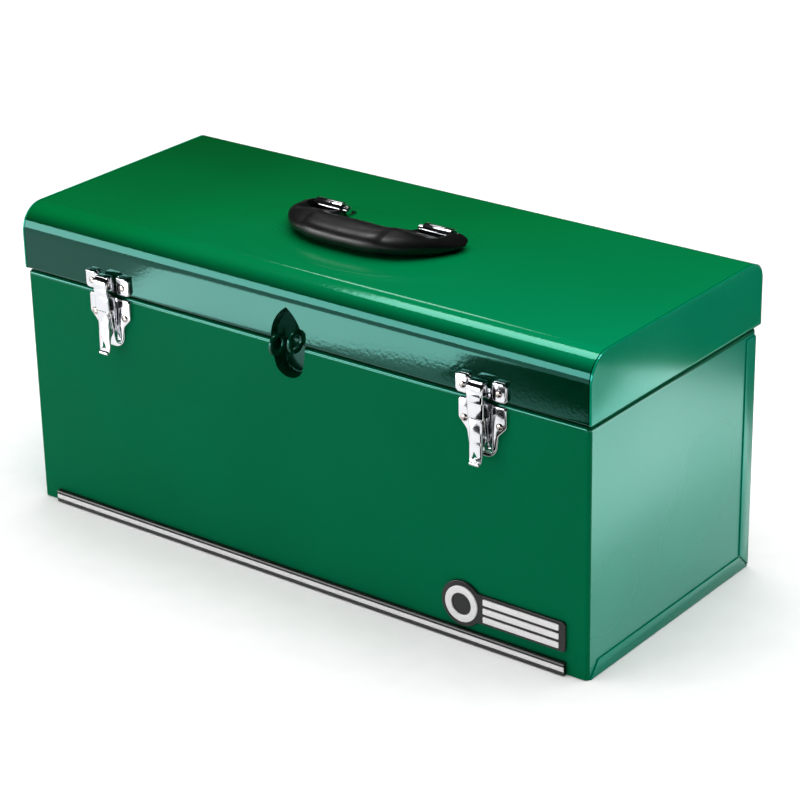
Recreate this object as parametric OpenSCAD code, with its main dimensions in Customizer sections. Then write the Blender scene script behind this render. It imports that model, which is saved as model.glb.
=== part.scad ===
// Sheet-steel hand toolbox: hinged lid, bow handle lying flat, two draw latches, lift-out tray.
// X runs along the box (+X right), -Y is the front, +Z is up; the origin is the middle of the base.

/* [Body] */
// Length of the body over its two ends
body_l = 508; // [400:1:640]
// Depth of the body, front face to the inside of the back sheet
body_d = 210; // [180:1:280]
// Height of the body, underside to rim
body_h = 188.4; // [150:0.1:260]
// Thickness of the body and lid sheet
sheet_t = 1; // [0.8:0.1:1.2]
// Outer radius of the two upright front bends
bend_r = 3; // [2:0.5:6]
// Width of the back and bottom flanges folded over the ends
flange_w = 12.5; // [8:0.5:20]
// Distance of the back flange's top end below the rim
flange_drop = 5.5; // [3:0.5:12]
// Width of the return flange round the rims of body and lid
rim_w = 7; // [4:0.5:9]
// Height of the floor's lap behind the front sheet
lap_h = 10; // [5:1:20]

/* [Lid] */
// Height of the lid
lid_h = 49.5; // [46:0.5:80]
// Gap between the body rim and the lid
lid_gap = 1.4; // [0.8:0.1:3]
// Outer radius of the lid's front top bend
lid_front_r = 20; // [12:0.5:22]
// Outer radius of the lid's rear top bend
lid_rear_r = 14; // [6:0.5:20]
// How far the lid stands proud of the body in front
lid_proud = 1; // [0:0.1:2]
// Thickness of the pressed lid end caps
cap_t = 1.3; // [1:0.1:3]
// Depth of the caps' flange inside the lid shell
cap_flange = 9; // [5:1:12]

/* [Hinge] */
// Length of the piano hinge
hinge_l = 480; // [300:1:480]
// Number of hinge knuckles, shared in turn by the two leaves
knuckle_count = 16; // [8:2:24]
// Outer radius of the knuckles
knuckle_r = 2.6; // [2.3:0.1:3.5]
// Radius of the hinge pin
hinge_pin_r = 1.25; // [1:0.05:1.5]
// Radial running clearance of every pivot pin
pin_clear = 0.05; // [0.02:0.01:0.09]
// Gap between neighbouring knuckles
knuckle_gap = 0.5; // [0.3:0.1:1]
// Width of the hinge leaves
leaf_w = 16; // [10:1:22]
// Thickness of the hinge leaves
leaf_t = 1; // [0.8:0.1:1.2]

/* [Padlock recess] */
// Width of the leaf-shaped recess
recess_w = 30; // [28:1:44]
// Height of the leaf-shaped recess
recess_h = 54; // [50:1:60]
// Depth of the recess behind the front face
recess_depth = 10; // [8:0.5:11]
// Radius of the holes in the two padlock eyes
eye_hole_r = 5.5; // [4:0.1:5.5]
// Width of metal round each hole
eye_wall = 3; // [2:0.5:3]
// Thickness of the padlock eyes
eye_t = 2.5; // [1.5:0.5:4]
// Distance between the two eyes along the box
eye_spread = 17; // [14:1:18]
// How far each hole's centre sits above or below the seam
eye_offset = 3; // [0:0.5:3]

/* [Latches] */
// Distance of each latch from the middle of the box
latch_x = 169; // [120:1:200]
// Width of the latch base plate
base_w = 39.5; // [36:0.5:48]
// Height of the latch base plate
base_h = 39.5; // [38:0.5:46]
// Thickness of the latch plates
plate_t = 1.2; // [1:0.1:1.2]
// Width of the strike plate
strike_w = 42.5; // [38:0.5:50]
// Height of the strike plate
strike_h = 14.5; // [13:0.5:18]
// Outside width of the lever channel
lever_w = 10.5; // [9.5:0.5:11]
// Length of the lever below its pivot
lever_l = 33; // [29:1:36]
// Side clearance between lever, link and cheeks
latch_clear = 0.3; // [0.2:0.05:0.5]
// Radius of the latch pivot pins
latch_pin_r = 1.2; // [1:0.1:1.3]
// Height of the draw link above the seam
link_rise = 15; // [13:0.5:18]
// Radius of the rivet heads
rivet_r = 2.8; // [2:0.1:3.2]

/* [Handle] */
// Distance of each handle bracket from the middle
bracket_x = 49.5; // [46:0.5:60]
// Width of the bracket straps
bracket_w = 25; // [18:0.5:26]
// Thickness of the bracket straps
strap_t = 1.6; // [1.2:0.1:2]
// Position of the handle pivot behind the middle of the box
pivot_y = 8; // [0:1:20]
// Height of the handle pivot above the lid
pivot_h = 7.4; // [7.2:0.1:9]
// Radius of the handle's pivot bars
bar_r = 3.2; // [2.5:0.1:3.2]
// Clearance between bar and strap
bar_clear = 0.5; // [0.3:0.1:0.5]
// Reach of the grip in front of its pivot, to its centre line
grip_reach = 39; // [35:1:50]
// Half width of the grip's section
grip_half_w = 15; // [11:0.5:16]
// Half height of the grip's section
grip_half_h = 8.8; // [7:0.2:9]

/* [Tray] */
// Distance of the tray ledges' top below the rim
ledge_drop = 57.4; // [57:0.1:109]
// Reach of the tray ledges
ledge_w = 16; // [12:1:20]
// Depth of the tray pan
tray_h = 50; // [30:1:50]
// Thickness of the tray sheet
tray_t = 0.8; // [0.6:0.1:1.2]
// Clearance of the tray inside the rim
tray_clear = 2; // [1.5:0.5:6]
// Space kept free behind the front sheet for the recess
tray_front_gap = 16; // [15:1:30]
// Width of the tray's outward rim
tray_rim = 3; // [2:0.5:5]
// Outer radius of the tray's upright corners
tray_corner_r = 8; // [4:1:15]
// Length of the tray handle
tray_handle_l = 124; // [100:1:160]
// Height of the tray handle above the tray's rim
tray_handle_rise = 34; // [26:1:36]

/* [Trim and badge] */
// Length of the front trim moulding
trim_l = 474; // [300:1:474]
// Height of the front trim moulding
trim_h = 10; // [6:0.5:16]
// Thickness of the front trim moulding
trim_t = 4; // [2:0.5:5]
// Height of the bright insert in the moulding
insert_h = 4; // [2:0.5:5]
// Length of the badge plate with its round end
badge_l = 104; // [80:1:120]
// Height of the badge's bar
badge_h = 23; // [16:1:28]
// Radius of the badge's round left end
badge_r = 17.5; // [15:0.5:20]
// Distance of the badge's right end from the middle of the box
badge_right = 237; // [150:1:240]
// Height of the badge's middle above the base
badge_z = 29; // [26:1:90]

/* [Hidden] */
y_front = -body_d / 2;
y_back = body_d / 2;
half_l = body_l / 2;
lid_z0 = body_h + lid_gap;
lid_top = lid_z0 + lid_h;
seam_z = body_h + lid_gap / 2;
hinge_y = y_back + sheet_t + knuckle_r;
lid_y0 = y_front - lid_proud;
lid_y1 = hinge_y + knuckle_r;
far = 60;
shank_r = 1.6;
knuckle_pitch = hinge_l / knuckle_count;
knuckle_l = knuckle_pitch - knuckle_gap;

// Lens of the recess: two arcs of one radius through the tips
lens_r = (recess_h * recess_h / 4 + recess_w * recess_w / 4) / recess_w;
lens_c = lens_r - recess_w / 2;
// The body half has fuller sides and a round bottom
full_r = 2 * lens_r;
foot_r = recess_w / 2 - 1;
valley_edge = 0.45 * recess_depth;
eye_r = eye_hole_r + eye_wall;
// The rings' backs stop short of the recess floor
eye_y = y_front + 0.65 * recess_depth - eye_r;

// Latch pivots: distance out from the body's front face, and height from the seam
lever_out = 5.8;
lever_z = -13;
link_out = 4.2;
link_z = -24;
face_in = 9.1;
face_out = face_in + plate_t;
link_step = 0.8;
face_over = 0.4;
lever_half = lever_w / 2;
link_in = lever_half + latch_clear;
link_half = link_in + plate_t;
cheek_half = lever_half - plate_t - latch_clear;
cheek_t = 1;
cheek_r = 3;
base_top = -2.5;
base_rivet_x = 14;
base_rivet_z = -17;
strike_rivet_x = 14.6;
strike_bottom = 1.2;
ear_in = 9;
ear_raise = 1.6;
wing_in = 8.2;
wing_t = 2 * plate_t;

bar_y = pivot_y;
bar_z = lid_top + pivot_h;
strap_in = bar_r + bar_clear;
strap_out = strap_in + strap_t;
foot_front = 21;
foot_rear = 10;
eye_side = 1.5;
strap_rivets = [pivot_y - foot_front + 5, pivot_y + foot_rear + 1];
eye_l = bracket_w + 2 * eye_side;
bar_l = eye_l + 8;
arm_r = 5.6;
grip_end = bracket_x + bracket_w / 2 + eye_side + 12;
grip_in = bracket_x - bracket_w / 2 - eye_side - 6;

ledge_z = body_h - ledge_drop;
tray_l = body_l - 2 * (rim_w + tray_clear);
tray_y0 = y_front + tray_front_gap;
tray_y1 = y_back - rim_w - tray_clear;
tray_z0 = ledge_z + 0.3;
tray_mid = (tray_y0 + tray_y1) / 2;
// The tray handle is a flat bow riveted to the divider by its two legs
bow_t = 2;
bow_leg = 7;
bow_foot_z = tray_z0 + 0.35 * tray_h;

// ---- shared forms ----

// A (y, z) outline drawn out along X, centred
module along_x(w) { rotate([90, 0, 90]) linear_extrude(w, center = true) children(); }

// An (x, z) outline drawn out towards the front, from y = 0 to y = -t
module to_front(t) { rotate([90, 0, 0]) linear_extrude(t) children(); }

module rod_x(r, w, fn = 48) { rotate([0, 90, 0]) cylinder(r = r, h = w, center = true, $fn = fn); }

module rod_y(r, h, fn = 32) { rotate([90, 0, 0]) cylinder(r = r, h = h, $fn = fn); }

module round_rect(w, d, r) {
    square([w - 2 * r, d], center = true);
    square([w, d - 2 * r], center = true);
    for (sx = [-1, 1], sy = [-1, 1])
        translate([sx * (w / 2 - r), sy * (d / 2 - r)]) circle(r, $fn = 48);
}

// A rivet head with a flattened dome, standing towards the front
module rivet_head(r) {
    rotate([90, 0, 0]) {
        cylinder(r = r, h = 0.5, $fn = 32);
        translate([0, 0, 0.5]) cylinder(r1 = r, r2 = 0.55 * r, h = 0.8, $fn = 32);
    }
}

// ---- padlock recess ----

module lens(r, c, grow) {
    intersection() {
        translate([c, 0]) circle(r + grow, $fn = 180);
        translate([-c, 0]) circle(r + grow, $fn = 180);
    }
}

module recess_outline(upper, grow) {
    if (upper) {
        intersection() {
            lens(lens_r, lens_c, grow);
            translate([-far, 0]) square([2 * far, far]);
        }
    } else {
        intersection() {
            lens(full_r, full_r - recess_w / 2, grow);
            union() {
                translate([0, foot_r - recess_h / 2]) circle(foot_r + grow, $fn = 96);
                translate([-far, foot_r - recess_h / 2]) square([2 * far, recess_h / 2 - foot_r]);
            }
        }
    }
}

// Plan of the recess floor: a valley with its crease in the middle above the seam, flat below
module floor_plan(upper, grow) {
    edge = upper ? valley_edge : recess_depth;
    deep = recess_depth + grow;
    at_far = deep - (recess_depth - edge) * far / (recess_w / 2);
    polygon([[-far, -far], [far, -far], [far, at_far], [0, deep], [-far, at_far]]);
}

module recess_void(upper, grow) {
    translate([0, 0, seam_z]) intersection() {
        translate([0, y_front + far, 0]) to_front(2 * far) recess_outline(upper, grow);
        translate([0, y_front, -far]) linear_extrude(2 * far) floor_plan(upper, grow);
    }
}

module recess_pan(upper) {
    y0 = upper ? lid_y0 : y_front;
    z0 = upper ? lid_z0 : body_h - recess_h;
    difference() {
        recess_void(upper, sheet_t);
        recess_void(upper, 0);
        translate([-far, y0 - 3 * far, seam_z - far]) cube([2 * far, 3 * far, 2 * far]);
        if (upper)
            translate([-far, y_front - far, seam_z - far]) cube([2 * far, 3 * far, far + lid_z0 - seam_z]);
        else
            translate([-far, y_front - far, body_h]) cube([2 * far, 3 * far, far]);
    }
}

// One padlock eye: a plate across the recess with a round end and a hole along the box
module padlock_eye(side, upper) {
    x = side * eye_spread / 2;
    z = seam_z + (upper ? eye_offset : -eye_offset);
    root_z = upper ? lid_z0 : z - eye_r;
    difference() {
        translate([x, 0, 0]) along_x(eye_t) union() {
            translate([eye_y, z]) circle(eye_r, $fn = 64);
            intersection() {
                translate([eye_y, z - eye_r]) square([far, 2 * eye_r]);
                if (upper)
                    translate([eye_y, lid_z0]) square([far, far]);
                else
                    translate([eye_y, body_h - far]) square([far, far]);
            }
        }
        translate([x, eye_y, z]) rod_x(eye_hole_r, eye_t + 1, 64);
        translate([0, y_front, seam_z - far]) linear_extrude(2 * far) difference() {
            translate([-far, -far]) square([2 * far, 3 * far]);
            floor_plan(upper, 0);
        }
    }
}

// ---- body ----

module body_plan(inset) {
    w = body_l - 2 * inset;
    r = bend_r - inset;
    translate([-w / 2, y_front + bend_r]) square([w, y_back - y_front - bend_r]);
    translate([-w / 2 + r, y_front + inset]) square([w - 2 * r, bend_r]);
    for (s = [-1, 1])
        translate([s * (w / 2 - r), y_front + bend_r]) circle(r, $fn = 48);
}

module body_front_and_ends() {
    color("#006340") {
        difference() {
            union() {
                translate([0, 0, sheet_t]) linear_extrude(body_h - sheet_t) difference() {
                    body_plan(0);
                    body_plan(sheet_t);
                    translate([-half_l + sheet_t, y_back - 1]) square([body_l - 2 * sheet_t, 2]);
                }
                // return flange of the rim
                translate([0, 0, body_h - sheet_t]) linear_extrude(sheet_t) difference() {
                    body_plan(sheet_t / 2);
                    translate([-half_l + rim_w, y_front + rim_w])
                        square([body_l - 2 * rim_w, body_d]);
                }
            }
            recess_void(false, 0);
        }
        recess_pan(false);
    }
}

module body_back_and_floor() {
    color("#006340") {
        // back wall with its return flange between the ends
        translate([-half_l, y_back, sheet_t])
            cube([body_l, sheet_t, body_h - sheet_t]);
        translate([-half_l + rim_w, y_back - rim_w + sheet_t, body_h - sheet_t])
            cube([body_l - 2 * rim_w, rim_w, sheet_t]);
        // floor with the lap behind the front
        linear_extrude(sheet_t) union() {
            body_plan(0);
            translate([-half_l, 0]) square([body_l, y_back + sheet_t]);
        }
        translate([-half_l + 2 * rim_w, y_front + sheet_t, sheet_t / 2])
            cube([body_l - 4 * rim_w, sheet_t, lap_h]);
        // flanges folded over the ends, mitred at the front
        for (s = [-1, 1])
            translate([s * (half_l + sheet_t / 2), 0, 0]) along_x(sheet_t) polygon([
                [y_front + bend_r, 0], [y_back + sheet_t, 0], [y_back + sheet_t, body_h - flange_drop],
                [y_back + sheet_t - flange_w, body_h - flange_drop],
                [y_back + sheet_t - flange_w, flange_w],
                [y_front + flange_w, flange_w]]);
    }
}

module tray_ledge(side) {
    color("#006340") translate([side * (half_l - sheet_t), 0, ledge_z]) mirror([side > 0 ? 1 : 0, 0, 0]) {
        translate([0, tray_y0, -ledge_w]) cube([sheet_t, tray_y1 - tray_y0, ledge_w]);
        translate([0, tray_y0, -sheet_t]) cube([ledge_w, tray_y1 - tray_y0, sheet_t]);
    }
}

module tray_ledge_left() { tray_ledge(-1); }
module tray_ledge_right() { tray_ledge(1); }

module padlock_eye_body() { color("#004d30") padlock_eye(-1, false); }
module padlock_eye_lid() { color("#004d30") padlock_eye(1, true); }

// ---- hinge ----

module knuckles(first) {
    for (i = [first:2:knuckle_count - 1])
        translate([(i + 0.5) * knuckle_pitch - hinge_l / 2, hinge_y, seam_z]) children();
}

module hinge_leaf_body() {
    color("#0a5c3c") difference() {
        union() {
            translate([-hinge_l / 2, y_back + sheet_t, seam_z - leaf_w])
                cube([hinge_l, leaf_t, leaf_w - knuckle_r - knuckle_gap]);
            knuckles(0) {
                rod_x(knuckle_r, knuckle_l);
                translate([-knuckle_l / 2, -knuckle_r, -leaf_w]) cube([knuckle_l, leaf_t, leaf_w]);
            }
        }
        translate([0, hinge_y, seam_z]) rod_x(hinge_pin_r + pin_clear, hinge_l + 2);
    }
}

module hinge_leaf_lid() {
    leaf_y = lid_y1 - sheet_t - leaf_t;
    color("#0a5c3c") difference() {
        union() {
            translate([-hinge_l / 2, leaf_y, seam_z + knuckle_r + knuckle_gap])
                cube([hinge_l, leaf_t, leaf_w - knuckle_r - knuckle_gap]);
            knuckles(1) {
                rod_x(knuckle_r, knuckle_l);
                translate([-knuckle_l / 2, leaf_y - hinge_y, 0]) cube([knuckle_l, leaf_t, leaf_w]);
            }
        }
        translate([0, hinge_y, seam_z]) rod_x(hinge_pin_r + pin_clear, hinge_l + 2);
    }
}

module hinge_pin() {
    color("silver") translate([0, hinge_y, seam_z]) rod_x(hinge_pin_r, hinge_l + 2 * knuckle_gap);
}

// ---- lid ----

module lid_outline(inset) {
    y0 = lid_y0 + inset;
    y1 = lid_y1 - inset;
    split = lid_y0 + lid_front_r;
    translate([y0, lid_z0]) square([split - y0, lid_h - lid_front_r]);
    translate([split, lid_z0]) square([lid_y1 - lid_rear_r - split, lid_h - inset]);
    translate([lid_y1 - lid_rear_r, lid_z0]) square([lid_rear_r - inset, lid_h - lid_rear_r]);
    translate([split, lid_top - lid_front_r]) circle(lid_front_r - inset, $fn = 96);
    translate([lid_y1 - lid_rear_r, lid_top - lid_rear_r]) circle(lid_rear_r - inset, $fn = 96);
}

module lid_shell() {
    rear_z0 = seam_z + knuckle_r + knuckle_gap;
    color("#00703c") union() {
        difference() {
            along_x(body_l) difference() {
                lid_outline(0);
                lid_outline(sheet_t);
                translate([lid_y1 - 2 * sheet_t, lid_z0 - 1])
                    square([3 * sheet_t, rear_z0 - lid_z0 + 1]);
            }
            recess_void(true, 0);
        }
        difference() {
            translate([-half_l + rim_w, lid_y0 + sheet_t / 2, lid_z0])
                cube([body_l - 2 * rim_w, rim_w, sheet_t]);
            recess_void(true, 0);
        }
        recess_pan(true);
    }
}

module lid_end(side) {
    color("#00703c") {
        translate([side * (half_l + cap_t / 2), 0, 0]) along_x(cap_t) lid_outline(0);
        translate([side * (half_l - cap_flange / 2), 0, 0]) along_x(cap_flange) difference() {
            lid_outline(sheet_t);
            lid_outline(2 * sheet_t);
            translate([lid_y0 - 1, lid_z0 - 1]) square([far, rim_w]);
            translate([hinge_y - far / 2, lid_z0 - 1]) square([far, rim_w]);
        }
        translate([side * (half_l - (rim_w - sheet_t) / 2), (lid_y0 + lid_y1) / 2, lid_z0 + sheet_t / 2])
            cube([rim_w - sheet_t, lid_y1 - lid_y0 - 4 * rim_w, sheet_t], center = true);
    }
}

module lid_end_left() { lid_end(-1); }
module lid_end_right() { lid_end(1); }

// ---- trim and badge ----

module trim_profile() {
    r = trim_t / 4;
    translate([-trim_t + r, 0]) square([trim_t - r, trim_h]);
    translate([-trim_t, r]) square([r, trim_h - 2 * r]);
    for (z = [r, trim_h - r])
        translate([-trim_t + r, z]) circle(r, $fn = 32);
}

module trim_moulding() {
    color("#1c1e1d") translate([0, y_front, 0]) difference() {
        along_x(trim_l) trim_profile();
        translate([0, -trim_t, trim_h / 2])
            cube([trim_l + 1, trim_t / 2, insert_h], center = true);
    }
}

module trim_bright_insert() {
    color("#f2f4f3") translate([-trim_l / 2, y_front - trim_t, trim_h / 2 - insert_h / 2])
        cube([trim_l, trim_t / 4, insert_h]);
}

module at_badge() { translate([badge_right - badge_l + badge_r, y_front, badge_z]) children(); }

module badge_plate() {
    bar_l = badge_l - badge_r;
    color("#151716") at_badge() to_front(2) union() {
        circle(badge_r, $fn = 96);
        translate([bar_l / 2, 0]) round_rect(bar_l, badge_h, 3);
    }
}

// A plain ring and three bars, worn as decoration
module badge_emblem() {
    mark_r = 0.78 * badge_r;
    bar_t = 0.19 * badge_h;
    bar_l = badge_l - 2 * badge_r - 6;
    color("#e9ebea") at_badge() translate([0, -2, 0]) to_front(1.2) {
        difference() {
            circle(mark_r, $fn = 64);
            circle(0.62 * mark_r, $fn = 64);
        }
        for (k = [-1:1])
            translate([badge_r + 1 + bar_l / 2, 1.55 * k * bar_t]) square([bar_l, bar_t], center = true);
    }
}

// ---- latches: drawn round x = 0, y = 0 on the body's front face, z = 0 at the seam ----

module at_latch(side) { translate([side * latch_x, y_front, seam_z]) children(); }

// Outline of the base plate: straight sides, a shoulder, a round tip
module base_outline() {
    tip_r = 10.5;
    low = base_top - base_h;
    waist = base_top - 0.38 * base_h;
    translate([0, (base_top + waist - 3) / 2]) round_rect(base_w, base_top - waist + 3, 2);
    polygon([[-base_w / 2, waist - 1], [base_w / 2, waist - 1], [tip_r + 2, waist - 8],
        [tip_r, low + tip_r], [-tip_r, low + tip_r], [-tip_r - 2, waist - 8]]);
    translate([0, low + tip_r]) circle(tip_r, $fn = 64);
}

module latch_base(side) {
    color("silver") at_latch(side) difference() {
        union() {
            to_front(plate_t) base_outline();
            // raised wings beside the channel that takes lever and link
            to_front(wing_t) difference() {
                base_outline();
                translate([-wing_in, -far]) square([2 * wing_in, 2 * far]);
            }
            for (s = [-1, 1])
                translate([s * (cheek_half - cheek_t / 2), 0, 0]) along_x(cheek_t) union() {
                    translate([-lever_out, lever_z]) circle(cheek_r, $fn = 48);
                    translate([-lever_out, lever_z - cheek_r]) square([lever_out, 2 * cheek_r]);
                }
        }
        translate([0, -lever_out, lever_z]) rod_x(latch_pin_r + pin_clear, base_w);
        for (s = [-1, 1])
            translate([s * base_rivet_x, 1, base_rivet_z]) rod_y(shank_r, wing_t + 2);
    }
}

module latch_rivets(side) {
    color("silver") at_latch(side) for (s = [-1, 1])
        translate([s * base_rivet_x, 0, base_rivet_z]) {
            rod_y(shank_r, wing_t);
            translate([0, -wing_t, 0]) rivet_head(rivet_r);
        }
}

module latch_pivot_pin(side) {
    color("silver") at_latch(side) translate([0, -lever_out, lever_z]) rod_x(latch_pin_r, lever_w);
}

module latch_lever(side) {
    top_r = 4.2;
    tip_z = lever_z - lever_l;
    tab_z = link_z - 5;
    color("silver") at_latch(side) difference() {
        union() {
            // face, narrowing to the finger tab
            translate([0, -face_in, 0]) to_front(plate_t) union() {
                translate([-lever_half, tab_z]) square([lever_w, lever_z + face_over - tab_z]);
                polygon([[-lever_half, tab_z], [lever_half, tab_z], [lever_half - 1.2, tip_z + 3],
                    [-lever_half + 1.2, tip_z + 3]]);
                translate([0, tip_z + 4]) circle(lever_half - 1.2, $fn = 48);
            }
            // curled end of the tab
            translate([0, -face_out, tip_z + 2]) rod_x(1.5, lever_w - 4);
            // side flanges with both pivots
            for (s = [-1, 1])
                translate([s * (lever_half - plate_t / 2), 0, 0]) along_x(plate_t) union() {
                    translate([-lever_out, lever_z]) circle(top_r, $fn = 48);
                    polygon([[-lever_out + top_r, lever_z], [-link_out + 2.5, link_z],
                        [-link_out + 1.6, link_z - 2], [-face_in, tab_z - 4], [-face_in, lever_z],
                        [-lever_out - top_r + 0.9, lever_z]]);
                }
        }
        translate([0, -lever_out, lever_z]) rod_x(latch_pin_r + pin_clear, base_w);
        translate([0, -link_out, link_z]) rod_x(latch_pin_r + pin_clear, base_w);
        translate([0, 0, tip_z + 7.5]) rotate([0, 30, 0]) rod_y(2.4, 2 * face_out, 3);
    }
}

module latch_link(side) {
    arm_x = link_in + plate_t / 2;
    face_z = lever_z + 2;
    hook_in = lid_proud + plate_t + 0.4;
    link_face = face_out + 0.4;
    arm_end = 2.7;
    arm_back = hook_in + 0.5;
    color("silver") at_latch(side) difference() {
        union() {
            for (s = [-1, 1])
                translate([s * arm_x, 0, 0]) along_x(plate_t) union() {
                    translate([-link_out, link_z]) circle(arm_end, $fn = 48);
                    polygon([[-link_out + arm_end, link_z], [-arm_back, lever_z],
                        [-arm_back, link_rise], [-face_in - 0.5, link_rise],
                        [-face_in - 0.5, lever_z], [-link_out - arm_end, link_z]]);
                }
            // lower half of the face, then the prouder upper half and the claw
            translate([-link_half, -link_face, face_z]) cube([2 * link_half, plate_t, -face_z + 1]);
            translate([-link_half, -link_face - link_step, 0])
                cube([2 * link_half, plate_t + link_step, link_rise]);
            translate([-link_half, -link_face, link_rise - plate_t])
                cube([2 * link_half, link_face - hook_in, plate_t]);
        }
        translate([0, -link_out, link_z]) rod_x(latch_pin_r + pin_clear, base_w);
    }
}

module latch_link_pin(side) {
    color("silver") at_latch(side) translate([0, -link_out, link_z]) rod_x(latch_pin_r, 2 * link_half);
}

module strike(side) {
    ear_w = strike_w / 2 - ear_in;
    color("silver") at_latch(side) translate([0, -lid_proud, 0]) difference() {
        union() {
            translate([0, 0, strike_bottom + strike_h / 2])
                to_front(plate_t) round_rect(strike_w, strike_h, 3);
            for (s = [-1, 1])
                translate([s * (ear_in + ear_w / 2), 0, strike_bottom + strike_h / 2]) {
                    to_front(plate_t + ear_raise) round_rect(ear_w, strike_h, 3.5);
                    translate([0, 0, strike_h / 2 - plate_t]) to_front(plate_t + 2 * ear_raise)
                        translate([-ear_w / 2 + 2, 0]) square([ear_w - 4, plate_t]);
                }
        }
        for (s = [-1, 1])
            translate([s * strike_rivet_x, 1, strike_bottom + strike_h / 2]) rod_y(shank_r, 10);
    }
}

module strike_rivets(side) {
    color("silver") at_latch(side) for (s = [-1, 1])
        translate([s * strike_rivet_x, -lid_proud, strike_bottom + strike_h / 2]) {
            rod_y(shank_r, plate_t + ear_raise);
            translate([0, -plate_t - ear_raise, 0]) rivet_head(rivet_r);
        }
}

module latch_left_base() { latch_base(-1); }
module latch_right_base() { latch_base(1); }
module latch_left_rivets() { latch_rivets(-1); }
module latch_right_rivets() { latch_rivets(1); }
module latch_left_pivot_pin() { latch_pivot_pin(-1); }
module latch_right_pivot_pin() { latch_pivot_pin(1); }
module latch_left_lever() { latch_lever(-1); }
module latch_right_lever() { latch_lever(1); }
module latch_left_link() { latch_link(-1); }
module latch_right_link() { latch_link(1); }
module latch_left_link_pin() { latch_link_pin(-1); }
module latch_right_link_pin() { latch_link_pin(1); }
module strike_left() { strike(-1); }
module strike_right() { strike(1); }
module strike_left_rivets() { strike_rivets(-1); }
module strike_right_rivets() { strike_rivets(1); }

// ---- carry handle ----

module handle_bracket(side) {
    color("silver") translate([side * bracket_x, 0, 0]) difference() {
        along_x(bracket_w) difference() {
            union() {
                translate([bar_y, bar_z]) circle(strap_out, $fn = 64);
                translate([bar_y - strap_out, lid_top]) square([2 * strap_out, pivot_h]);
                translate([bar_y - foot_front, lid_top])
                    square([foot_front + strap_out + foot_rear, strap_t]);
            }
            translate([bar_y, bar_z]) circle(strap_in, $fn = 64);
            translate([bar_y - strap_in, lid_top - 1]) square([2 * strap_in, pivot_h + 1]);
        }
        for (y = strap_rivets)
            translate([0, y, lid_top - 1]) cylinder(r = shank_r, h = strap_t + 2, $fn = 32);
    }
}

module handle_bracket_left() { handle_bracket(-1); }
module handle_bracket_right() { handle_bracket(1); }

module handle_rivets() {
    color("silver") for (s = [-1, 1], y = strap_rivets)
        translate([s * bracket_x, y, lid_top]) {
            cylinder(r = shank_r, h = strap_t, $fn = 32);
            translate([0, 0, strap_t]) cylinder(r1 = 2.4, r2 = 1.4, h = 0.8, $fn = 32);
        }
}

module handle_backing_plate() {
    color("#8d9391") translate([0, bar_y, lid_top - sheet_t - 1.5])
        linear_extrude(1.5) round_rect(2 * bracket_x + 46, 44, 6);
}

module handle_pivot_bars() {
    color("silver") for (s = [-1, 1])
        translate([s * bracket_x, bar_y, bar_z]) rod_x(bar_r, bar_l);
}

// Rounded station of the grip: a squashed ball
module grip_ball(x, y, h, radii) {
    translate([x, bar_y - y, lid_top + h]) scale(radii) sphere(1, $fn = 28);
}

module handle_grip() {
    lift = 0.5;
    mid_h = lift + grip_half_h;
    end_x = grip_end - 8;
    flank_x = end_x - 9;
    waist_x = end_x - 31;
    mid = [12, grip_half_w, grip_half_h];
    waist = [12, 0.94 * grip_half_w, 0.97 * grip_half_h];
    flank = [11, 0.8 * grip_half_w, 0.85 * grip_half_h];
    inner_x = grip_in + 3;
    color("#1b1d1e") difference() {
        union() {
            for (s = [-1, 1]) {
                hull() {
                    grip_ball(s * end_x, 4, pivot_h, [8, 9, 6]);
                    grip_ball(s * flank_x, 0.56 * grip_reach, mid_h, flank);
                }
                hull() {
                    grip_ball(s * flank_x, 0.56 * grip_reach, mid_h, flank);
                    grip_ball(s * waist_x, 0.84 * grip_reach, mid_h, waist);
                }
                hull() {
                    grip_ball(s * waist_x, 0.84 * grip_reach, mid_h, waist);
                    grip_ball(0, grip_reach, mid_h, mid);
                }
                translate([s * inner_x, bar_y, bar_z]) rod_x(arm_r, 6);
                translate([s * inner_x - 3, bar_y - 20, bar_z - arm_r + 1]) cube([6, 20, 2 * arm_r - 2]);
                translate([s * (end_x - 1), bar_y, bar_z]) rod_x(arm_r, 10);
            }
        }
        for (s = [-1, 1])
            translate([s * bracket_x, bar_y, bar_z]) {
                rod_x(bar_r, bar_l);
                cube([eye_l, 24, 40], center = true);
            }
        translate([0, 0, lid_top - 20 + lift]) cube([4 * grip_end, 400, 40], center = true);
    }
}

// ---- lift-out tray ----

module tray_pan() {
    w = tray_l - 2 * tray_rim;
    d = tray_y1 - tray_y0 - 2 * tray_rim;
    color("#006340") translate([0, tray_mid, tray_z0]) {
        difference() {
            linear_extrude(tray_h) round_rect(w, d, tray_corner_r);
            translate([0, 0, tray_t]) linear_extrude(tray_h)
                round_rect(w - 2 * tray_t, d - 2 * tray_t, tray_corner_r - tray_t);
        }
        translate([0, 0, tray_h - tray_t]) linear_extrude(tray_t) difference() {
            round_rect(w + 2 * tray_rim, d + 2 * tray_rim, tray_corner_r + tray_rim);
            round_rect(w - tray_t, d - tray_t, tray_corner_r - tray_t / 2);
        }
    }
}

module tray_divider() {
    w = tray_l - 2 * tray_rim - 2 * tray_t;
    color("#006340") translate([-w / 2, tray_mid, tray_z0 + tray_t])
        cube([w, tray_t, 0.8 * tray_h]);
}

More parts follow.
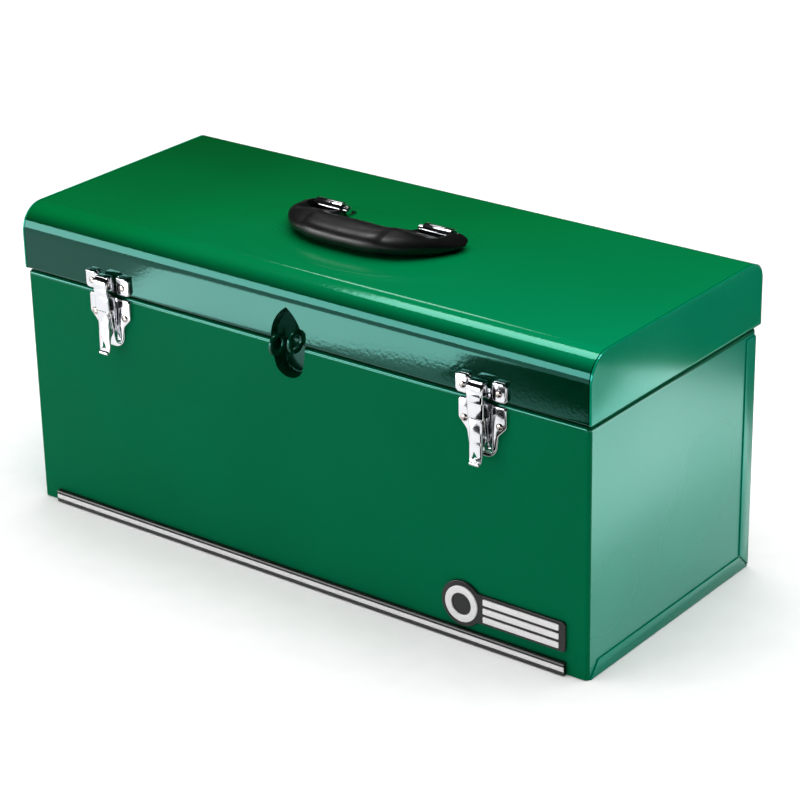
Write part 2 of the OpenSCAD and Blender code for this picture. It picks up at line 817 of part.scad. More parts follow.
module tray_handle() {
    grip_h = 12;
    top_z = tray_z0 + tray_h + tray_handle_rise;
    color("silver") translate([0, tray_mid, 0]) difference() {
        to_front(bow_t) translate([0, (bow_foot_z + top_z) / 2]) difference() {
            round_rect(tray_handle_l, top_z - bow_foot_z, 10);
            translate([0, -grip_h]) round_rect(tray_handle_l - 4 * bow_leg, top_z - bow_foot_z, 7);
        }
        for (s = [-1, 1])
            translate([s * (tray_handle_l / 2 - bow_leg), 1, bow_foot_z + 12]) rod_y(shank_r, bow_t + 2);
    }
}

module tray_rivets() {
    color("silver") for (s = [-1, 1])
        translate([s * (tray_handle_l / 2 - bow_leg), tray_mid, bow_foot_z + 12]) {
            rod_y(shank_r, bow_t);
            translate([0, -bow_t, 0]) rivet_head(rivet_r);
        }
}

body_front_and_ends();
body_back_and_floor();
tray_ledge_left();
tray_ledge_right();
hinge_leaf_body();
hinge_pin();
padlock_eye_body();
trim_moulding();
trim_bright_insert();
badge_plate();
badge_emblem();
latch_left_base();
latch_right_base();
latch_left_rivets();
latch_right_rivets();
latch_left_pivot_pin();
latch_right_pivot_pin();
lid_shell();
lid_end_left();
lid_end_right();
hinge_leaf_lid();
padlock_eye_lid();
strike_left();
strike_right();
strike_left_rivets();
strike_right_rivets();
handle_bracket_left();
handle_bracket_right();
handle_rivets();
handle_backing_plate();
handle_grip();
handle_pivot_bars();
latch_left_lever();
latch_right_lever();
latch_left_link();
latch_right_link();
latch_left_link_pin();
latch_right_link_pin();
tray_pan();
tray_divider();
tray_handle();
tray_rivets();
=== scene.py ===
# %% [markdown]
# # Sheet-steel hand toolbox
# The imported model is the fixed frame: it holds every part at its real size and place, grouped into the
# bodies that move. The looks are built round it, part by part, and each new piece rides on the body it
# belongs to.
# %% Load the frame
import math
import bpy
import bmesh
import numpy as np
from mathutils import Matrix, Vector


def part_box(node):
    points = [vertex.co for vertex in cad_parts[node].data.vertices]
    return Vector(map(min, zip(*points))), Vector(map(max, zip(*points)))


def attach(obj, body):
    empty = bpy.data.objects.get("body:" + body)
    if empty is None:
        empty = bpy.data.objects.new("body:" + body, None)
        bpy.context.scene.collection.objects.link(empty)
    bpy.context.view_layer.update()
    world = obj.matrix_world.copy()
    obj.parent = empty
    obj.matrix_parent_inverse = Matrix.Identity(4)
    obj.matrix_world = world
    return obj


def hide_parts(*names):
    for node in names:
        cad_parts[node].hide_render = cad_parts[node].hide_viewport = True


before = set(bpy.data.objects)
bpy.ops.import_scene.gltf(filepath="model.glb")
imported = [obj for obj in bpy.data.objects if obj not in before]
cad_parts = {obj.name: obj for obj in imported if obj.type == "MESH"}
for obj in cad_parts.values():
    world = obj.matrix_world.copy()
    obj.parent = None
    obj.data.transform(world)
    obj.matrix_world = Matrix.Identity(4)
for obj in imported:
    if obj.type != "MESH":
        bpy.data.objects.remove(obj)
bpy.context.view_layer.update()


# %% [markdown]
# Everything below is worked out in millimetres, as a sheet-metal drawing would be, and turned to metres
# once, when a mesh is made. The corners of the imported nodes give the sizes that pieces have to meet.
# %% Sizes read from the frame
def corners(node):
    """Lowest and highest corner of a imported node, in millimetres."""
    low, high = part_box(node)
    return np.array(low) * 1000, np.array(high) * 1000


lid_low, lid_high = corners("lid_shell")
lid_y0, lid_y1, lid_z0, lid_top = lid_low[1], lid_high[1], lid_low[2], lid_high[2]
body_low, body_high = corners("body_front_and_ends")
half_l, front_y, rim_z = body_high[0], body_low[1], body_high[2]
back_high = corners("body_back_and_floor")[1]
sheet = 1.0
seam_z = (rim_z + lid_z0) / 2
sides = ((-1, "left"), (1, "right"))
print("lid", lid_y0, lid_y1, lid_z0, lid_top, "body half length", half_l, "rim", rim_z)

# %% [markdown]
# A piece is one grid or a few grids of points with faces between neighbours. Faces are made for a whole
# grid at once; a closed direction joins its last row to its first. Doubled points at poles and seams are
# merged, and the normals of the closed skin are then turned outwards.
# %% Mesh helpers
def grid(points, close_u=False, close_v=False):
    """Points of shape (u, v, 3) and the quads between neighbours, either direction closed if asked."""
    nu, nv = points.shape[:2]
    i, j = np.meshgrid(np.arange(nu - (not close_u)), np.arange(nv - (not close_v)), indexing="ij")
    i2, j2 = (i + 1) % nu, (j + 1) % nv
    quads = np.stack([i * nv + j, i2 * nv + j, i2 * nv + j2, i * nv + j2], -1).reshape(-1, 4)
    return points.reshape(-1, 3), quads.tolist()


def capped(rings):
    """Rings of points, each closed on itself, joined one to the next, with the first and last ring filled."""
    p, f = grid(rings, close_v=True)
    n = rings.shape[1]
    return p, f + [list(range(n)), list(range(len(p) - n, len(p)))]


def piece(name, parts, bend=32):
    """One object from (points, faces) parts in millimetres, merged, normals out, smooth below the bend."""
    points, faces, base = [], [], 0
    for p, f in parts:
        points.append(np.asarray(p, float))
        faces += [[k + base for k in face] for face in f]
        base += len(p)
    mesh = bpy.data.meshes.new(name)
    mesh.from_pydata(np.concatenate(points) / 1000, [], faces)
    bm = bmesh.new()
    bm.from_mesh(mesh)
    bmesh.ops.remove_doubles(bm, verts=bm.verts, dist=2e-6)
    bmesh.ops.recalc_face_normals(bm, faces=bm.faces)
    bm.to_mesh(mesh)
    bm.free()
    mesh.shade_smooth()
    mesh.set_sharp_from_angle(angle=math.radians(bend))
    obj = bpy.data.objects.new(name, mesh)
    bpy.context.scene.collection.objects.link(obj)
    return obj


def bake_modifiers(obj, bend=32):
    """The mesh that the object's modifiers give takes the place of its mesh."""
    graph = bpy.context.evaluated_depsgraph_get()
    mesh = bpy.data.meshes.new_from_object(obj.evaluated_get(graph))
    obj.modifiers.clear()
    obj.data = mesh
    mesh.shade_smooth()
    mesh.set_sharp_from_angle(angle=math.radians(bend))
    return obj


def cut(obj, cutter, bend=32):
    """The cutter's volume is taken out of the object, and the cutter is removed."""
    m = obj.modifiers.new("cut", "BOOLEAN")
    m.operation, m.solver, m.object = "DIFFERENCE", "EXACT", cutter
    bake_modifiers(obj, bend)
    bpy.data.objects.remove(cutter)
    return obj


print("mesh helpers: grid, capped, piece, bake_modifiers, cut")

# %% [markdown]
# Sheet metal is drawn flat and then bent, so most shapes start as an outline with rounded corners. It is
# given a thickness, stacked into a plate with rolled edges, or carried along a line.
# %% Outlines and plates
def fillet(points, radii, closed=True, steps=8):
    """A polygon with arcs for corners; an arc meets its sides at radius over tangent of half the angle."""
    pts, n, out = np.asarray(points, float), len(points), []
    for k in range(n):
        r = radii[k] if hasattr(radii, "__len__") else radii
        if r <= 0 or (not closed and k in (0, n - 1)):
            out.append(pts[k][None])
            continue
        a, b, c = pts[k - 1], pts[k], pts[(k + 1) % n]
        u, v = (a - b) / np.linalg.norm(a - b), (c - b) / np.linalg.norm(c - b)
        half = np.arccos(np.clip(u @ v, -1, 1)) / 2
        reach = r / np.tan(half)
        middle = b + (u + v) / np.linalg.norm(u + v) * r / np.sin(half)
        p, q = b + u * reach - middle, b + v * reach - middle
        t = np.linspace(0, 1, steps + 1)[:, None]
        turn = np.arccos(np.clip(p @ q / r**2, -1, 1))
        out.append(middle + (np.sin((1 - t) * turn) * p + np.sin(t * turn) * q) / np.sin(turn))
    return np.concatenate(out)


def normals_2d(path, closed):
    """Unit normals to the right of a path in a plane, from the mean of the two neighbouring sides."""
    if closed:
        side = np.roll(path, -1, 0) - np.roll(path, 1, 0)
    else:
        side = np.gradient(path, axis=0)
    side /= np.maximum(np.linalg.norm(side, axis=1, keepdims=True), 1e-9)
    return np.stack([side[:, 1], -side[:, 0]], 1)


def outward(outline):
    """Outward normals of a closed outline whichever way round it runs."""
    x, y = outline.T
    turn = np.sign(np.sum(x * np.roll(y, -1) - np.roll(x, -1) * y))
    return normals_2d(outline, True) * turn


def thicken(path, t):
    """A closed loop round an open path: the path moved half the thickness to each side."""
    n = normals_2d(path, False) * t / 2
    return np.concatenate([path + n, (path - n)[::-1]])


def plate(outline, low, high, r=0.4, steps=3):
    """A plate in (a, b, depth): rings of the outline, drawn in at each edge by a quarter turn of radius r."""
    t = np.linspace(0, np.pi / 2, steps + 1)
    inset = np.concatenate([r * (1 - np.sin(t)), r * (1 - np.cos(t))])
    depth = np.concatenate([low + r * (1 - np.cos(t)), high - r * (1 - np.sin(t))])
    flat = outline[None] - inset[:, None, None] * outward(outline)[None]
    pts = np.concatenate([flat, np.broadcast_to(depth[:, None, None], flat.shape[:2] + (1,))], 2)
    return capped(pts)


def face_front(part, x=0.0, y=0.0, z=0.0):
    """Turns (a, b, depth) to x, z and depth towards the front, then moves it."""
    p, f = part
    return np.stack([p[:, 0] + x, y - p[:, 2], p[:, 1] + z], 1), f


def face_side(part, x=0.0, y=0.0, z=0.0):
    """Turns (a, b, depth) to y, z and depth along x, then moves it."""
    p, f = part
    return np.stack([p[:, 2] + x, p[:, 0] + y, p[:, 1] + z], 1), f


def face_up(part, x=0.0, y=0.0, z=0.0):
    """Turns (a, b, depth) to x, y and height, then moves it."""
    p, f = part
    return np.stack([p[:, 0] + x, p[:, 1] + y, p[:, 2] + z], 1), f


def circle(r, n=32, x=0.0, y=0.0):
    """Points on a circle, radius r round (x, y)."""
    t = np.linspace(0, 2 * np.pi, n, endpoint=False)
    return np.stack([x + r * np.cos(t), y + r * np.sin(t)], 1)


def rect(w, h, r=0.0, x=0.0, y=0.0, steps=6):
    """A rectangle w by h round (x, y) with corner radius r."""
    box = np.array([[-w, -h], [w, -h], [w, h], [-w, h]]) / 2 + [x, y]
    return fillet(box, r, steps=steps) if r > 0 else box


def along_x(loop, x):
    """A closed loop in (y, z) carried to each x, with its two ends filled."""
    x = np.asarray(x, float)
    pts = np.concatenate([np.broadcast_to(x[:, None, None], (len(x), len(loop), 1)),
                          np.broadcast_to(loop, (len(x),) + loop.shape)], 2)
    return capped(pts)


def turned(profile, n=32):
    """A profile of (radius, height) turned once round; height runs along the third axis."""
    t = np.linspace(0, 2 * np.pi, n, endpoint=False)[:, None]
    r, h = profile[:, 0][None], profile[:, 1][None]
    pts = np.stack([r * np.cos(t), r * np.sin(t), np.broadcast_to(h, (n, len(profile)))], 2)
    return grid(pts, close_u=True)


def dense(path, step):
    """More points along a path, at most step apart, its own points kept."""
    out = []
    for a, b in zip(path[:-1], path[1:]):
        k = max(1, int(np.ceil(np.linalg.norm(b - a) / step)))
        out.append(a + (b - a) * np.arange(k)[:, None] / k)
    return np.concatenate(out + [path[-1:]])


print("outline helpers: fillet, thicken, plate, circle, rect, along_x, turned, dense")


# %% [markdown]
# The box is seen from its right and from above, with a long lens, so its edges stay nearly parallel. The
# camera is given by the way it looks: turned 38 degrees to the left, 24 degrees down, and tilted by one
# degree.
# %% Camera
yaw, pitch, roll = (math.radians(a) for a in (-37.69, 23.81, -1.14))
look = Vector((math.sin(yaw) * math.cos(pitch), math.cos(yaw) * math.cos(pitch), -math.sin(pitch)))
side = look.cross(Vector((0, 0, 1))).normalized()
top = side.cross(look)
camera = bpy.data.objects.new("camera", bpy.data.cameras.new("camera"))
bpy.context.scene.collection.objects.link(camera)
camera.matrix_world = Matrix((side * math.cos(roll) + top * math.sin(roll),
                              top * math.cos(roll) - side * math.sin(roll), -look)).transposed().to_4x4()
camera.location = (1.1360, -1.4481, 0.9186)
camera.data.sensor_width, camera.data.lens = 36.0, 121.86
camera.data.clip_start, camera.data.clip_end = 0.05, 60
bpy.context.scene.camera = camera
print("camera at", tuple(round(v, 3) for v in camera.location), "lens", camera.data.lens)

# %% [markdown]
# ## Finishes
# One function turns sRGB hex colours to linear light, and one adds a node with its settings and links.
# Patterns read Object coordinates, which are metres here, so a scale of 1000 means one unit per millimetre.
# %% Material helpers
def hexa(code):
    """An sRGB hex colour as linear red, green, blue and alpha 1."""
    c = np.array([int(code[k:k + 2], 16) for k in (0, 2, 4)]) / 255
    return (*np.where(c <= 0.04045, c / 12.92, ((c + 0.055) / 1.055) ** 2.4), 1.0)


def node(mat, kind, sets=None, links=None):
    """Adds a node, sets its properties and unlinked inputs, and links the inputs that are given an output."""
    n = mat.node_tree.nodes.new("ShaderNode" + kind)
    for key, value in (sets or {}).items():
        if isinstance(key, str) and hasattr(n, key):
            setattr(n, key, value)
        else:
            n.inputs[key].default_value = value
    for key, output in (links or {}).items():
        mat.node_tree.links.new(output, n.inputs[key])
    return n


def finish_of(name):
    """An empty node material with its output node."""
    mat = bpy.data.materials.new(name)
    mat.use_nodes = True
    mat.node_tree.nodes.clear()
    return mat, node(mat, "OutputMaterial")


def connect(mat, out, shader):
    """Links a shader to the material's output and gives the material back."""
    mat.node_tree.links.new(shader.outputs[0], out.inputs["Surface"])
    return mat


def ramp(mat, factor, stops):
    """A colour ramp on a factor; stops are (position, linear colour)."""
    n = node(mat, "ValToRGB", links={"Fac": factor})
    n.color_ramp.elements[0].position, n.color_ramp.elements[0].color = stops[0]
    n.color_ramp.elements[1].position, n.color_ramp.elements[1].color = stops[-1]
    for position, colour in stops[1:-1]:
        n.color_ramp.elements.new(position).color = colour
    return n


print("material helpers: hexa, node, finish_of, connect, ramp")

# %% [markdown]
# ** Stoved green enamel.** Sprayed alkyd enamel baked on sheet steel: a deep green coat with the faint
# orange peel of sprayed paint, about 3 mm from crest to crest. Each area has its own gloss: the body's
# front is satin, the ends are brighter, and the lid, its caps and the rim are glossy. Each area also has
# its own copy of the green with painted light and shade: the ends and lid ends are painted lighter, the
# rim and the padlock recess are painted darker. A green tint on the specular keeps the highlights mint.
# The lid's colour has painted light that makes the top lighter towards the front and right, and painted
# shade that makes it deepest on the upright front; a ramp along Object coordinates carries both.
# %% Green enamel
def enamel_shader(mat, out, colour, low, high, level, tint, peel_height):
    """Colour output, roughness range, specular level and tint, and orange peel joined in one shader."""
    where = node(mat, "TexCoord").outputs["Object"]
    peel = node(mat, "TexNoise", {"Scale": 330.0, "Detail": 2.0, "Roughness": 0.4}, {"Vector": where})
    cloud = node(mat, "TexNoise", {"Scale": 9.0, "Detail": 1.0}, {"Vector": where})
    rough = node(mat, "MapRange", {"From Min": 0.3, "From Max": 0.7, "To Min": low, "To Max": high},
                 {"Value": cloud.outputs["Fac"]})
    bump = node(mat, "Bump", {"Strength": 0.3, "Distance": peel_height}, {"Height": peel.outputs["Fac"]})
    shader = node(mat, "BsdfPrincipled", {
        "Specular IOR Level": level, "Specular Tint": hexa(tint)}, {
        "Base Color": colour, "Roughness": rough.outputs["Result"], "Normal": bump.outputs["Normal"]})
    return connect(mat, out, shader)


def stoved_enamel(name, colour, deep, low, high, level, tint):
    """One colour, clouded by a slow noise between its own and a deeper tone."""
    mat, out = finish_of(name)
    where = node(mat, "TexCoord").outputs["Object"]
    cloud = node(mat, "TexNoise", {"Scale": 9.0, "Detail": 1.0}, {"Vector": where})
    tone = ramp(mat, cloud.outputs["Fac"], [(0.35, hexa(deep)), (0.65, hexa(colour))])
    return enamel_shader(mat, out, tone.outputs["Color"], low, high, level, tint, 0.00004)


def lid_coat_painted_light_and_shade(name):
    """Painted light: the top lightens from rear left to front right. Painted shade: the deep tone over the
    front bend.
    """
    mat, out = finish_of(name)
    where = node(mat, "TexCoord").outputs["Object"]
    # Painted light: the top's colour runs lighter towards the front and the right.
    across = node(mat, "VectorMath", {"operation": "DOT_PRODUCT", 1: (1.0, -1.5, 0.0)}, {0: where})
    cloud = node(mat, "TexNoise", {"Scale": 7.0, "Detail": 1.0}, {"Vector": where})
    sway = node(mat, "MapRange", {"From Min": 0.3, "From Max": 0.7, "To Min": -0.05, "To Max": 0.05},
                {"Value": cloud.outputs["Fac"]})
    run = node(mat, "Math", {"operation": "ADD"}, {0: across.outputs["Value"], 1: sway.outputs["Result"]})
    part = node(mat, "MapRange", {"From Min": -0.42, "From Max": 0.42}, {"Value": run.outputs["Value"]})
    top_painted_light = ramp(mat, part.outputs["Result"],
                    [(0.0, hexa(lid_tones_painted_light_and_shade[0])), (0.4, hexa(lid_tones_painted_light_and_shade[1])), (1.0, hexa(lid_tones_painted_light_and_shade[2]))])
    # Painted shade: below the top the colour sinks to the deep tone of the upright front.
    height = node(mat, "SeparateXYZ", links={"Vector": where})
    upper = node(mat, "MapRange", {
        "interpolation_type": "SMOOTHSTEP", "From Min": 0.2245, "From Max": 0.2375}, {
        "Value": height.outputs["Z"]})
    factor, deep, light, mixed = 0, 6, 7, 2
    mix = node(mat, "Mix", {"data_type": "RGBA", deep: hexa(lid_tones_painted_light_and_shade[3])},
               {factor: upper.outputs["Result"], light: top_painted_light.outputs["Color"]})
    return enamel_shader(mat, out, mix.outputs[mixed], 0.05, 0.11, 0.55, "80ffee", 0.00008)


# Lid tones: rear-left, middle and front-right top with painted light; the last, for the upright front,
# painted shade.
lid_tones_painted_light_and_shade = ("004c1e", "006a33", "008052", "002c1a")
lid_enamel_painted_light_and_shade = lid_coat_painted_light_and_shade("stoved_enamel_lid_painted_light_and_shade")
body_enamel = stoved_enamel("stoved_enamel_body", "006a43", "006740", 0.42, 0.50, 0.03, "20ffff")
# The ends and the lid ends take lighter copies of the one green: painted light.
end_enamel_painted_light = stoved_enamel("stoved_enamel_ends_painted_light", "008566", "008062", 0.22, 0.30, 0.52, "30fff4")
cap_enamel_painted_light = stoved_enamel("stoved_enamel_lid_ends_painted_light", "008c64", "008760", 0.12, 0.18, 0.68, "50fff8")
# The rim takes a darker copy of the green: painted shade.
rim_enamel_painted_shade = stoved_enamel("stoved_enamel_rim_painted_shade", "005c3a", "005836", 0.10, 0.16, 0.9, "8cfff0")
# The recess and the eyes in it take a much darker copy of the green: painted shade in the hollow.
recess_enamel_painted_shade = stoved_enamel("stoved_enamel_recess_painted_shade", "00301c", "002818", 0.12, 0.2, 0.5, "8cffee")
print("green enamel: lid, body, ends, lid ends, rim, recess")

# %% [markdown]
# **Bright chrome.** Latches and straps are pressed steel with a nickel-chrome plate. The plate is a mirror;
# the pressing under it leaves slow ripples, 8 mm apart, and handling leaves hair scratches.
# %% Chrome and steel
def plated(name, colour, rough, ripple):
    """A mirror metal: scratches add up to 0.12 to its roughness, and slow waves tilt it by ripple."""
    mat, out = finish_of(name)
    where = node(mat, "TexCoord").outputs["Object"]
    wave = node(mat, "TexNoise", {"Scale": 120.0, "Detail": 1.0}, {"Vector": where})
    hair = node(mat, "Mapping", {"Scale": (400.0, 400.0, 4000.0)}, {"Vector": where})
    scratch = node(mat, "TexNoise", {"Scale": 1.0, "Detail": 3.0}, {"Vector": hair.outputs["Vector"]})
    r = node(mat, "MapRange", {"From Min": 0.35, "From Max": 0.75, "To Min": rough, "To Max": rough + 0.12},
             {"Value": scratch.outputs["Fac"]})
    bump = node(mat, "Bump", {"Strength": 0.3, "Distance": ripple}, {"Height": wave.outputs["Fac"]})
    shader = node(mat, "BsdfPrincipled", {"Base Color": hexa(colour), "Metallic": 1.0},
                  {"Roughness": r.outputs["Result"], "Normal": bump.outputs["Normal"]})
    return connect(mat, out, shader)


chrome = plated("bright_chrome_plate", "dcdde1", 0.04, 0.0003)
rivet_steel = plated("nickel_rivet_heads", "b0a7a2", 0.10, 0.0006)
zinc = plated("zinc_plated_steel", "c4c6c8", 0.28, 0.0001)
print("chrome, rivets, zinc")

# %% [markdown]
# **Black polypropylene.** The grip is moulded in a spark-eroded tool, which gives it a fine satin grain,
# near 0.4 mm, that spreads a highlight without breaking it. The trim and badge are a smoother black vinyl.
# The foil in the trim and the marks on the badge are bright foil painted near white: a painted reflection
# of bright surroundings, which keeps them light whatever they mirror.
# %% Black plastics and the white of the foil, a painted reflection
def moulded(name, colour, rough, grain):
    """A plain dielectric with a fine grain; wear moves its roughness from 0.04 below to 0.06 above."""
    mat, out = finish_of(name)
    where = node(mat, "TexCoord").outputs["Object"]
    fine = node(mat, "TexNoise", {"Scale": 2500.0, "Detail": 2.0}, {"Vector": where})
    worn = node(mat, "TexNoise", {"Scale": 60.0, "Detail": 3.0}, {"Vector": where})
    r = node(mat, "MapRange", {
        "From Min": 0.3, "From Max": 0.7, "To Min": rough - 0.04, "To Max": rough + 0.06}, {
        "Value": worn.outputs["Fac"]})
    bump = node(mat, "Bump", {"Strength": 0.4, "Distance": grain}, {"Height": fine.outputs["Fac"]})
    shader = node(mat, "BsdfPrincipled", {"Base Color": hexa(colour), "IOR": 1.49},
                  {"Roughness": r.outputs["Result"], "Normal": bump.outputs["Normal"]})
    return connect(mat, out, shader)


grip_black = moulded("satin_moulded_polypropylene", "0d0d0e", 0.36, 0.00003)
trim_black = moulded("gloss_black_vinyl", "101211", 0.24, 0.00001)
# The foil's near-white colour is a painted reflection of bright surroundings.
foil = moulded("foil_white_painted_reflection", "f4f1f3", 0.30, 0.00001)
print("black plastics and the white foil")

# %% [markdown]
# Each piece is then dressed: it takes a finish, rides on its body and, where it takes the place of imported
# nodes, hides them.
# %% Dressing a piece
def dress(obj, mat, body, slot, *nodes):
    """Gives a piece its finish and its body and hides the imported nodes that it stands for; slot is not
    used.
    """
    obj.data.materials.clear()
    obj.data.materials.append(mat)
    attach(obj, body)
    if nodes:
        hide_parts(*nodes)
    tris = sum(len(p.vertices) - 2 for p in obj.data.polygons)
    print(f"{obj.name}: {tris} triangles on {body}")
    return obj


print("dress ready")

# %% [markdown]
# ## Lid
# The lid skin is one bent sheet: a return flange inside the front edge, the front, a 20 mm bend, the top, a
# smaller bend and the back. Its section is a path with rounded corners, thickened to the sheet and carried
# along the box. A shallow oval panel stands up round the handle, which stiffens the top where the load
# comes in.
# %% Lid skin
oval_a, oval_b, oval_y, oval_rise, oval_step = 105, 60, -22, 0.5, 5


def oval_press(x, y):
    """Height lost outside the oval panel: a smooth step across the rim of an ellipse."""
    d = (np.hypot(x / oval_a, (y - oval_y) / oval_b) - 1) * oval_b / oval_step
    t = np.clip(0.5 + d / 2, 0, 1)
    return oval_rise * t * t * (3 - 2 * t)


def lid_section():
    """The sheet's mid line from the front return flange to the back edge, thickened to a closed loop."""
    h = sheet / 2
    path = fillet([[lid_y0 + 7, lid_z0 + h], [lid_y0 + h, lid_z0 + h], [lid_y0 + h, lid_top - h],
                   [lid_y1 - h, lid_top - h], [lid_y1 - h, seam_z + 3.1]], [0, 1.4, 19.5, 13.5, 0],
                  closed=False, steps=16)
    return thicken(dense(path, 1.5), sheet)


def lid_skin():
    """The section carried along x, closer together over the oval, then lowered wherever the oval isn't."""
    wing = np.linspace(120, half_l - 1.4, 30)
    x = np.concatenate([[-half_l + 0.7], -wing[::-1], np.linspace(-118, 118, 190), wing, [half_l - 0.7]])
    p, f = along_x(lid_section(), x)
    on_top = np.clip((p[:, 2] - lid_top + 6) / 4, 0, 1)
    p[:, 2] -= on_top * oval_press(p[:, 0], p[:, 1])
    return piece("lid_skin", [(p, f)])


lid = lid_skin()

# %% [markdown]
# The padlock recess is leaf shaped: two arcs that meet in a point above, fuller sides and a round foot
# below. It is pressed into lid and body alike. Above the seam its floor folds to a crease in the middle;
# below it is flat.
# %% Recess shape
recess_w, recess_h, recess_deep = 30.0, 54.0, 10.0
leaf_r = (recess_h**2 / 4 + recess_w**2 / 4) / recess_w


def leaf_half(h):
    """Half width of the leaf at height h from the seam: an arc above, a fuller arc and a round foot below."""
    up = np.sqrt(np.maximum(leaf_r**2 - h**2, 0)) - leaf_r + recess_w / 2
    full = np.sqrt(np.maximum(4 * leaf_r**2 - h**2, 0)) - 2 * leaf_r + recess_w / 2
    foot = np.sqrt(np.maximum(14.0**2 - (h + 13) ** 2, 0))
    return np.maximum(np.where(h > 0, up, np.where(h > -13, full, np.minimum(full, foot))), 0)


def leaf_outline(h):
    """The closed outline through the half widths at heights h, right side up and left side down."""
    w = leaf_half(h)
    return np.concatenate([np.stack([w, h], 1), np.stack([-w, h], 1)[::-1]])


def recess_pan(h, y_face, upper):
    """Depth over the leaf: the floor's depth times a smooth rise over 2.2 mm in from the outline."""
    across = 49
    u = np.sin(np.linspace(-np.pi / 2, np.pi / 2, across))[None]
    w = leaf_half(h)[:, None]
    slope = np.gradient(leaf_half(h), h)[:, None]
    x, z = u * w, np.broadcast_to(h[:, None], (len(h), across))
    rim = (w - np.abs(x)) / np.sqrt(1 + slope**2)
    end = (h.max() - z) if upper else (z - h.min())
    rim = np.minimum(rim, np.sqrt(np.maximum(end, 0) * 12))
    t = np.clip(rim / 2.2, 0, 1)
    floor = (recess_deep - 5.5 * np.abs(x) / (recess_w / 2)) if upper else np.full_like(x, recess_deep)
    deep = floor * np.sin(t * np.pi / 2) ** 1.4
    front = np.stack([x, y_face + deep, z + seam_z], 2)
    back = front + [0, 0.8, 0]
    return capped(np.concatenate([front, back[:, ::-1]], 1))


def leaf_cutter(h, y_face):
    """A block with the leaf's outline, 20 mm out and 20 mm in from the face."""
    return piece("leaf_cutter", [face_front(plate(leaf_outline(h), -20, 20, 0.001, 1), y=y_face, z=seam_z)])


tip = recess_h / 2
h_up = np.concatenate([np.linspace(lid_z0 - seam_z, tip - 3, 30), np.linspace(tip - 2.5, tip, 10)])
cut(lid, leaf_cutter(np.concatenate([[-3.0], h_up]), lid_y0))
dress(lid, lid_enamel_painted_light_and_shade, "lid", "green_enamel", "lid_shell")
lid_leaf = piece("lid_recess", [recess_pan(h_up, lid_y0, True)])
# The lid's half of the recess takes the dark copy, painted shade.
dress(lid_leaf, recess_enamel_painted_shade, "lid", "green_enamel")

# %% [markdown]
# Each lid end is a pressed cap. Its outline is the lid's own section as it is away from the oval panel, its
# edge is rolled to a 1.25 mm radius, and a hair of shadow stays open where it meets the skin.
# %% Lid end caps
cap_x, cap_top = corners("lid_end_right")[1][0], lid_top - oval_rise
cap_line = fillet([[lid_y0, lid_z0], [lid_y1, lid_z0], [lid_y1, cap_top], [lid_y0, cap_top]],
                  [1.2, 1.2, 14, 20], steps=18)
for s, side_name in sides:
    p, f = face_side(plate(cap_line, half_l + 0.05, cap_x, 1.25, 6))
    cap = piece("lid_cap_" + side_name, [(p * [s, 1, 1], f)])
    # Each cap takes the lighter copy of the green, painted light.
    dress(cap, cap_enamel_painted_light, "lid", "green_enamel", "lid_end_" + side_name)

# %% [markdown]
# ## Body
# Front and ends are one sheet bent round two upright corners of 3 mm radius. Its rim turns in with a 2.5 mm
# bend, which is the bright line under the lid, and ends in a 7 mm return flange. Each level of the sheet is
# a plan outline drawn in by an inset, so the surface is a grid of levels by points along the plan.
# %% Body skin
rim_start = rim_z - 3.2


def plan(inset):
    """The U-shaped plan from rear left to rear right, drawn in by inset; bends keep their centre."""
    x, y = half_l - inset, front_y + inset
    r = max(3.0 - inset, 0.02)
    return fillet([[-x, 105], [-x, y], [x, y], [x, 105]], [0, r, r, 0], closed=False, steps=12)


def bend_levels(r, top, inset):
    """Pairs of (inset, height) over a quarter turn of radius r that ends at height top."""
    t = np.linspace(0, np.pi / 2, 9)
    return [(inset + r * (1 - math.cos(a)), top - r * (1 - math.sin(a))) for a in t]


wall_levels = [(0, 0.4), (0, rim_start), (sheet, rim_start), (sheet, 0.4)]
rim_levels = [(0, rim_start)] + bend_levels(2.5, rim_z, 0) + [(7, rim_z), (7, rim_z - sheet)]
rim_levels += bend_levels(2.5 - sheet, rim_z - sheet, sheet)[::-1] + [(sheet, rim_start)]


def body_part(name, points, levels):
    """The levels of the sheet over a run of the plan's points, closed at its two cut ends."""
    rows = [(plan(inset)[points], z) for inset, z in levels]
    pts = np.stack([np.column_stack([row, np.full(len(row), z)]) for row, z in rows])
    p, f = grid(pts, close_u=True)
    n = pts.shape[1]
    ends = [[k * n for k in range(len(levels))], [k * n + n - 1 for k in range(len(levels))]]
    return piece(name, [(p, f + ends)])


body = body_part("body_front", slice(1, -1), wall_levels)
rim = body_part("body_rim", slice(None), rim_levels)
h_low = np.concatenate([np.linspace(-tip, -tip + 2.5, 8), np.linspace(-tip + 3, rim_z - seam_z, 30)])
for part in (body, rim):
    cut(part, leaf_cutter(np.concatenate([h_low, [4.0]]), front_y))
dress(body, body_enamel, "box", "green_enamel", "body_front_and_ends")
# The rim takes the darker copy of the green, painted shade.
dress(rim, rim_enamel_painted_shade, "box", "green_enamel")
for side_name, points in (("left", slice(0, 2)), ("right", slice(-2, None))):
    # The ends take the lighter copy of the green, painted light.
    dress(body_part("body_end_" + side_name, points, wall_levels), end_enamel_painted_light, "box", "green_enamel")
body_leaf = piece("body_recess", [recess_pan(h_low, front_y, False)])
# The body's half of the recess takes the dark copy, painted shade.
dress(body_leaf, recess_enamel_painted_shade, "box", "green_enamel")

